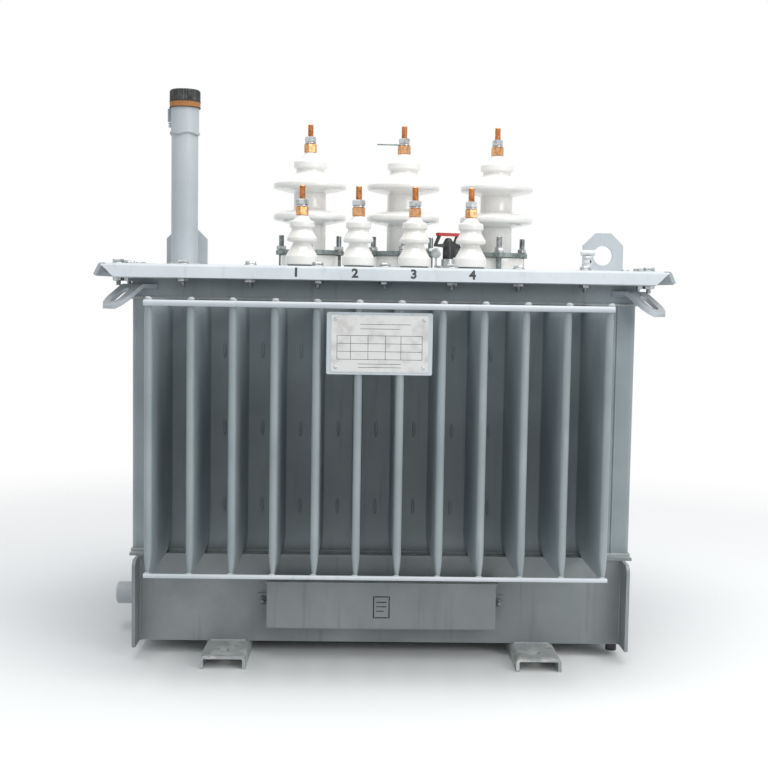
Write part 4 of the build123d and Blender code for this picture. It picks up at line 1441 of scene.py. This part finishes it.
@dataclass
class LidFittings:
    """Small fittings on the lid: the valve, the tap changer's top, and the welds of lugs and eyes."""

    shop: Workshop
    # The valve's turned body, in millimetres, up to where its neck starts
    valve_corners: tuple[Corner, ...] = ((0, 0, 0), (13, 0, 0), (13, 5, 0), (7.5, 6, 0), (7.5, 16, 0),
                                         (9.5, 17, 0), (9.5, 23, 0), (6, 25, 0))
    neck_radius: float = 6 * MM
    barrel_radius: float = 5.5 * MM
    barrel_length: float = 27 * MM
    barrel_edge: float = 1.2 * MM
    union: tuple[float, float] = (17 * MM, 6 * MM)
    port_radius: float = 2.6 * MM
    port_length: float = 2 * MM
    port_place: Point = (3.5 * MM, -7.2 * MM, 20 * MM)
    flange: float = 6 * MM
    lock_radius: float = 10 * MM
    lock_height: float = 27 * MM
    lock_width: float = 7 * MM
    lock_edge: float = 1 * MM
    lock_place: tuple[float, float] = (-24 * MM, -6 * MM)
    # Opposite corners of the boxes that carry the lock, in millimetres
    lock_arm: tuple[Point, Point] = ((-26, -11, 0), (-22, -8, 27))
    lock_foot: tuple[Point, Point] = ((-27, -10, -1), (-10, -3, 3))
    bolt: tuple[float, float] = (8 * MM, 4 * MM)
    bolt_circle: float = 17.5 * MM
    bolt_angles: tuple[float, ...] = (-75, -15, 60, 120)
    bore: float = 5.3 * MM
    bore_top: float = 42.3 * MM
    hub_radius: float = 10.5 * MM
    hub_top: float = 53 * MM
    dome_radius: float = 5 * MM
    dome_top: float = 63 * MM
    dome_round: float = 6 * MM
    grip_half: float = 4.5 * MM
    grip_turn_deg: float = 22.0
    lug_weld: float = 3.5 * MM
    eye_weld: float = 3 * MM
    eye_root: float = 45 * MM
    eye_bend: float = 4 * MM
    eye_sheet: float = 7 * MM

    def valve(self) -> None:
        """Makes the valve that stands before the right lug, and a black disc on it as painted shade in the
        opening of its port.
        """
        low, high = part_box("thermometer_pocket")
        centre = middle("thermometer_pocket")
        height = high.z - low.z
        neck = height - 2 * self.barrel_radius
        body = turned("valve_body", [*outline(list(self.valve_corners), 1), (self.neck_radius, neck),
                                     (0, neck)], 28)
        barrel = round_bar("barrel", self.barrel_radius, 0.0, self.barrel_length, 24, self.barrel_edge)
        across = (Matrix.Translation((-self.barrel_length / 2, 0, height - self.barrel_radius))
                  @ Matrix.Rotation(QUARTER, 4, "Y"))
        mesh = joined("valve", [(body, STILL), (barrel, across),
                                (hexagon_nut("union", *self.union), up(neck - self.union[1]))])
        piece = self.shop.spread("lid_valve", mesh, [(centre.x, centre.y, low.z)], Paint.PALE)
        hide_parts("thermometer_pocket")
        # A thin black disc stands in for the port's opening: painted shade of the bore
        port = round_bar("port", self.port_radius, 0.0, self.port_length, 16)
        spot = Vector((centre.x, centre.y, low.z)) + Vector(self.port_place)
        self.shop.spread("valve_port", port, [tuple(spot)], Paint.RUBBER, Crease.ROUNDED, [(QUARTER, 0, 0)])

    def tap_lock(self) -> None:
        """Makes the tap changer's lock disc and the bolts of its flange."""
        centre = middle("tap_changer_base")
        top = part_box("tap_changer_base")[0].z + self.flange
        disc = round_bar("disc", self.lock_radius, 0.0, self.lock_width, 20, self.lock_edge, 2)
        upright = Matrix.Translation((*self.lock_place, self.lock_height)) @ Matrix.Rotation(QUARTER, 4, "X")
        props = [(box_mesh("prop", *(tuple(c * MM for c in corner) for corner in box)), STILL)
                 for box in (self.lock_arm, self.lock_foot)]
        lock = joined("lock", [(disc, upright), *props])
        self.shop.spread("tap_lock", lock, [(centre.x, centre.y, top)], Paint.ZINC)
        spots = [(centre.x + self.bolt_circle * math.cos(angle),
                  centre.y + self.bolt_circle * math.sin(angle), top)
                 for angle in map(math.radians, self.bolt_angles)]
        self.shop.spread("tap_flange_bolts", hexagon_nut("head", *self.bolt), spots, Paint.ZINC)

    def handle(self) -> None:
        """Makes the turning handle: hub and dome, a wide web, and the two slanted arms under the red bar."""
        centre = middle("tap_changer_base")
        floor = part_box("lid")[1].z
        foot, top = (corner.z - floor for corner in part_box("tap_handle"))
        dome = rounded([(self.hub_radius, foot), (self.hub_radius, self.hub_top),
                        (self.dome_radius, self.dome_top), (0, self.dome_top)], [0, 0, self.dome_round, 0], 6)
        hub = turned("hub", [(0, self.bore_top), (self.bore, self.bore_top), (self.bore, foot), *dome], 40)
        # The arms, the web and its foot as seen from the front, in millimetres
        outlines = [
            [(-22, top / MM), (-29, 50), (-25, 50), (-17.5, top / MM)],
            [(17, top / MM), (10, 50), (15, 50), (22.5, top / MM)],
            [(-29, 50), (-29, 46), (9, 43), (25, 46), (23.5, 51), (0, 53)],
            [(9, 46), (9.5, 32), (14, 25), (25, 46)],
        ]
        stand = Matrix.Translation((0, self.grip_half, 0)) @ Matrix.Rotation(QUARTER, 4, "X")
        webs = [(plate("web", [(x * MM, z * MM) for x, z in corners], 0.0, 2 * self.grip_half), stand)
                for corners in outlines]
        grip = joined("handle", [(hub, STILL), *webs])
        piece = self.shop.spread("tap_grip", grip, [(centre.x, centre.y, floor)], Paint.BLACK,
                                 Crease.ROUNDED, [(0, 0, math.radians(self.grip_turn_deg))], HANDLE_BODY)
        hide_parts("tap_handle")

    def welds(self) -> None:
        """Lays the beads round the feet of the lugs and the roots of the lashing eyes."""
        feet = []
        for side in ("left", "right"):
            low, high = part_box(f"{side}_lifting_lug")
            feet.append([(low.x, low.y, low.z), (high.x, low.y, low.z), (high.x, high.y, low.z),
                         (low.x, high.y, low.z), (low.x, low.y, low.z)])
        # The lug welds wear the lid's paler coat, a painted highlight for the sky light on them
        self.shop.weld("lug_welds", feet, self.lug_weld, seed=6.0, paint=Paint.LID)
        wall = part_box("tank_right_end")[1]
        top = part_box("front_lashing_eyes")[1].z
        bends = [[(sx * (wall.x - along), sy * (wall.y - across), z) for along, across in (
                      (self.eye_root, 0.0), (self.eye_bend, 0.0), (0.0, self.eye_bend), (0.0, self.eye_root))]
                 for sx in (-1, 1) for sy in (-1, 1) for z in (top, top - self.eye_sheet)]
        self.shop.weld("eye_welds", bends, self.eye_weld, seed=8.0, paint=Paint.TANK)

    def build(self) -> None:
        """Makes the fittings."""
        self.valve()
        self.tap_lock()
        self.handle()
        self.welds()


@dataclass
class NamePlate:
    """Aluminium rating plate with an empty table, riveted on its carrier.

    The rows, columns and lines are shares of the plate's height and width.
    """

    shop: Workshop
    width: float = 157 * MM
    height: float = 92 * MM
    sheet: float = 0.8 * MM
    line: float = 0.7 * MM
    relief: float = 0.12 * MM
    rivet_corners: tuple[Corner, ...] = ((0, 0, 0), (3.2, 0, 0.3), (2.24, 1.4, 1), (0, 1.6, 0))
    rivet_inset: float = 7 * MM
    columns: tuple[float, ...] = (0.06, 0.2, 0.38, 0.56, 0.72, 0.94)
    rows: tuple[float, ...] = (0.22, 0.36, 0.5, 0.64)
    # Height, start and end of the bare lines above and below the table
    lines: tuple[Point, ...] = ((0.76, 0.3, 0.7), (0.84, 0.3, 0.82), (0.08, 0.28, 0.72), (0.14, 0.28, 0.72))

    def table(self, left: float, bottom: float, face: float) -> None:
        """Prints the table and the bare lines.

        Args:
            left: The plate's left edge.
            bottom: Its lower edge.
            face: The Y of its front.
        """
        strips = [(self.columns[0], row, self.columns[-1], row) for row in self.rows]
        strips += [(column, self.rows[0], column, self.rows[-1]) for column in self.columns]
        strips += [(start, level, end, level) for level, start, end in self.lines]
        half = self.line / 2
        bars = []
        for x0, z0, x1, z1 in strips:
            low = (left + x0 * self.width - half, face - self.relief, bottom + z0 * self.height - half)
            high = (left + x1 * self.width + half, face, bottom + z1 * self.height + half)
            bars.append((box_mesh("line", low, high), STILL))
        self.shop.piece("rating_table", joined("rating_table", bars), Paint.INK)

    def build(self) -> None:
        """Makes the plate, its printed table and its rivets."""
        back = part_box("nameplate_carrier")[0].y
        front = back - self.sheet
        centre = middle("nameplate_carrier")
        left, bottom = centre.x - self.width / 2, centre.z - self.height / 2
        sheet = box_mesh("rating_plate", (left, front, bottom),
                         (left + self.width, back, bottom + self.height))
        self.shop.piece("rating_plate", sheet, Paint.PLATE)
        self.table(left, bottom, front)
        rivet = turned("rivet", outline(list(self.rivet_corners), 3), 20)
        spots = [(centre.x + sx * (self.width / 2 - self.rivet_inset), front,
                  centre.z + sz * (self.height / 2 - self.rivet_inset)) for sx in (-1, 1) for sz in (-1, 1)]
        self.shop.spread("plate_rivets", rivet, spots, Paint.ZINC, Crease.MELTED,
                         [(QUARTER, 0, 0)] * len(spots))


@dataclass
class TrayFittings:
    """Bolts of the document box, its sheet pictogram, and the welds of the drain and the skids."""

    shop: Workshop
    ledge_reach: float = 6 * MM
    bolt: tuple[float, float] = (13 * MM, 5.3 * MM)
    washer: tuple[float, float] = (8.5 * MM, 1.6 * MM)
    thread: tuple[float, float] = (4 * MM, 13 * MM)
    tab_half: float = 9 * MM
    tab_sheet: float = 3 * MM
    box_lid: float = 2.5 * MM
    box_lip: float = 3 * MM
    # Left, foot, right and top of each bar of the pictogram from its middle, in millimetres
    bars: tuple[tuple[float, float, float, float], ...] = (
        (-15, -20, -12.6, 20), (12.6, -20, 15, 20), (-11.6, -20, 11.6, -17.6), (-11.6, 17.6, 11.6, 20),
        (-9, 8, 9, 10), (-9, 0, 9, 2), (-9, -8, 4, -6))
    bar_relief: float = 0.15 * MM
    bar_root: float = 0.5 * MM
    pictogram_drop: float = 2 * MM
    drain_radius: float = 23 * MM
    drain_reach: float = 3.5 * MM
    skid_inset: float = 8 * MM
    weld_radius: float = 3 * MM

    def bolts(self) -> None:
        """Bolts the document box's tabs to the tray."""
        low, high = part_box("document_box")
        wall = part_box("tray_front_wall")[0].y + self.ledge_reach
        level = (low.z + high.z - self.box_lid) / 2
        radius, sheet = self.washer
        thread_radius, thread_end = self.thread
        bolt = joined("tab_bolt", [
            (round_bar("washer", radius, 0.0, sheet, 24), STILL),
            (hexagon_nut("head", *self.bolt), up(sheet)),
            (threaded("end", thread_radius, 0.0, thread_end, FINE_PITCH), STILL)])
        spots = [(x, wall - self.tab_sheet, level) for x in (low.x + self.tab_half, high.x - self.tab_half)]
        self.shop.spread("tab_bolts", bolt, spots, Paint.CLAMP, turns=[(QUARTER, 0.3, 0), (QUARTER, 0.9, 0)])

    def pictogram(self) -> None:
        """Stencils a sheet of paper with empty lines on the box's front."""
        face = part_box("document_box")[0].y + self.box_lip
        level = middle("document_box").z - self.pictogram_drop
        bars = [(box_mesh("bar", (x0 * MM, face - self.bar_relief, level + z0 * MM),
                          (x1 * MM, face + self.bar_root, level + z1 * MM)), STILL)
                for x0, z0, x1, z1 in self.bars]
        self.shop.piece("box_pictogram", joined("box_pictogram", bars), Paint.INK)

    def welds(self) -> None:
        """Lays the beads round the side drain and along the skids."""
        wall = abs(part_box("tray_front_wall")[0].y + self.ledge_reach)
        drain = middle("side_drain")
        end = min(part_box("tray_left_end")[0].x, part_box("tray_floor")[0].x) - self.drain_reach
        turns = [math.tau * i / 32 for i in range(33)]
        paths = [[(end, drain.y + self.drain_radius * math.cos(turn),
                   drain.z + self.drain_radius * math.sin(turn)) for turn in turns]]
        for side in ("left", "right"):
            low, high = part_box(f"{side}_skid")
            paths += [[(x, sy * wall, high.z) for x in (low.x + self.skid_inset, high.x - self.skid_inset)]
                      for sy in (-1, 1)]
        self.shop.weld("tray_foot_welds", paths, self.weld_radius, seed=12.0)

    def build(self) -> None:
        """Makes the bolts, the pictogram and the welds."""
        self.bolts()
        self.pictogram()
        self.welds()


@dataclass
class Stencils:
    """Plain numerals stencilled on the lid's front edge, one before each low-voltage bushing."""

    shop: Workshop
    size: float = 23 * MM
    thickening: float = 0.9 * MM
    depth: float = 0.15 * MM
    level: float = 687.5 * MM
    shift: float = -5 * MM
    lip_drop: float = 24 * MM
    lip_splay: float = 9.5 * MM

    def numeral(self, number: int) -> Mesh:
        """Makes one numeral, flat round the origin.

        Args:
            number: Which one.

        Returns:
            The mesh.
        """
        curve = bpy.data.curves.new(f"numeral_{number}", "FONT")
        curve.body = str(number)
        curve.size = self.size
        curve.extrude = self.depth
        curve.offset = self.thickening
        curve.align_x = "CENTER"
        curve.align_y = "CENTER"
        writing = bpy.data.objects.new(f"numeral_{number}", curve)
        bpy.context.collection.objects.link(writing)
        graph = bpy.context.evaluated_depsgraph_get()
        mesh = bpy.data.meshes.new_from_object(writing.evaluated_get(graph))
        bpy.data.objects.remove(writing)
        return mesh

    def build(self) -> None:
        """Makes the numerals and lays them on the sloping edge."""
        low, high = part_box("lid")
        y = low.y + self.lip_splay * (self.level - (high.z - self.lip_drop)) / self.lip_drop
        tilt = Matrix.Rotation(QUARTER - math.atan2(self.lip_splay, self.lip_drop), 4, "X")
        meshes = []
        for number in range(1, 5):
            x = middle(f"lv_insulator_{number}").x + self.shift
            meshes.append((self.numeral(number), Matrix.Translation((x, y, self.level)) @ tilt))
        self.shop.piece("edge_numerals", joined("edge_numerals", meshes), Paint.INK)


@dataclass
class Studio:
    """Floor, lamps, world and camera."""

    camera_place: Point = (-49.3 * MM, -2419.7 * MM, 656.6 * MM)
    yaw_deg: float = 1.268
    pitch_deg: float = 4.254
    roll_deg: float = 0.904
    focal_px: float = 1238.3
    image_px: float = 768.0
    sensor_mm: float = 36.0
    floor_size: float = 9.0
    fade: tuple[float, float] = (0.9, 2.4)
    sky: float = 0.62
    aim: Point = (0, 0, 0.4)

    def camera(self) -> None:
        """Places the camera as the photograph's."""
        data = bpy.data.cameras.new("camera")
        data.sensor_width = self.sensor_mm
        data.lens = self.focal_px / self.image_px * self.sensor_mm
        camera = bpy.data.objects.new("camera", data)
        bpy.context.collection.objects.link(camera)
        camera.location = self.camera_place
        look = Euler((math.radians(90 - self.pitch_deg), 0, math.radians(-self.yaw_deg))).to_matrix()
        camera.rotation_euler = (look @ Matrix.Rotation(math.radians(self.roll_deg), 3, "Z")).to_euler()
        bpy.context.scene.camera = camera

    def world(self) -> None:
        """Makes a plain white surround for the eye and for reflections, and a softer one for light."""
        world = bpy.data.worlds.new("surround")
        bpy.context.scene.world = world
        world.use_nodes = True
        tree = world.node_tree
        tree.nodes.clear()
        rays = add(tree, "ShaderNodeLightPath").outputs
        straight = add(tree, "ShaderNodeMath", {"operation": "MAXIMUM"}, {
            0: rays["Is Camera Ray"], 1: rays["Is Transmission Ray"]})
        seen = add(tree, "ShaderNodeMath", {"operation": "MAXIMUM"}, {
            0: straight.outputs["Value"], 1: rays["Is Glossy Ray"]})
        white = add(tree, "ShaderNodeBackground", {"Color": srgb("#FFFFFF"), "Strength": 1.0})
        light = add(tree, "ShaderNodeBackground", {"Color": srgb("#F1F5FA"), "Strength": self.sky})
        mix = add(tree, "ShaderNodeMixShader", links={
            0: seen.outputs["Value"], 1: light.outputs["Background"], 2: white.outputs["Background"]})
        add(tree, "ShaderNodeOutputWorld", links={"Surface": mix.outputs["Shader"]})

    def floor(self) -> None:
        """Lays a matt pale floor whose edge fades out."""
        half = self.floor_size / 2
        mesh = new_mesh("floor", [(-half, -half, 0), (half, -half, 0), (half, half, 0), (-half, half, 0)],
                        [(0, 1, 2, 3)])
        material = bpy.data.materials.new("pale_floor")
        material.use_nodes = True
        tree = material.node_tree
        tree.nodes.clear()
        where = add(tree, "ShaderNodeTexCoord").outputs["Object"]
        reach = add(tree, "ShaderNodeVectorMath", {"operation": "LENGTH"}, {0: where}).outputs["Value"]
        fade = add(tree, "ShaderNodeMapRange", {
            "interpolation_type": "SMOOTHSTEP", "From Min": self.fade[0], "From Max": self.fade[1]},
            {"Value": reach}).outputs["Result"]
        matt = add(tree, "ShaderNodeBsdfDiffuse", {"Color": srgb("#F4F4F3")})
        clear = add(tree, "ShaderNodeBsdfTransparent")
        mix = add(tree, "ShaderNodeMixShader", links={
            0: fade, 1: matt.outputs["BSDF"], 2: clear.outputs["BSDF"]})
        add(tree, "ShaderNodeOutputMaterial", links={"Surface": mix.outputs["Shader"]})
        mesh.materials.append(material)
        floor = bpy.data.objects.new("floor", mesh)
        bpy.context.collection.objects.link(floor)

    def lamp(self, name: str, place: Point, size: float, watts: float) -> None:
        """Hangs a soft square lamp.

        Args:
            name: Its name.
            place: Where it hangs.
            size: Its side.
            watts: Its power.
        """
        data = bpy.data.lights.new(name, "AREA")
        data.size = size
        data.energy = watts
        lamp = bpy.data.objects.new(name, data)
        bpy.context.collection.objects.link(lamp)
        lamp.location = place
        lamp.rotation_euler = (Vector(self.aim) - Vector(place)).to_track_quat("-Z", "Y").to_euler()

    def build(self) -> None:
        """Makes the whole studio."""
        bpy.context.scene.view_settings.view_transform = "Standard"
        self.camera()
        self.world()
        self.floor()
        self.lamp("overhead", (0.2, -0.7, 3.2), size=2.6, watts=70)
        self.lamp("front", (2.3, -3.0, 1.9), size=1.8, watts=42)


def main() -> None:
    """Builds the looks sub-assembly by sub-assembly."""
    logging.basicConfig(level=logging.INFO, format="%(name)s %(message)s")
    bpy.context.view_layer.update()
    shop = Workshop()
    for row in frame["record"]["subparts"]:
        shop.repaint(row["node"], SLOT_PAINT[row["material_slot"]])
    for paint, starts in OTHER_PAINT.items():
        for node in frame["nodes"]:
            if node.startswith(starts):
                shop.repaint(node, paint)
    fins = FinPacks(shop)
    for assembly in (fins, TankShell(shop, fins), LidBolts(shop), Bushings(shop), FillerPipe(shop),
                     LidFittings(shop), NamePlate(shop), TrayFittings(shop), Stencils(shop), Studio()):
        assembly.build()


if __name__ == "__main__":
    main()
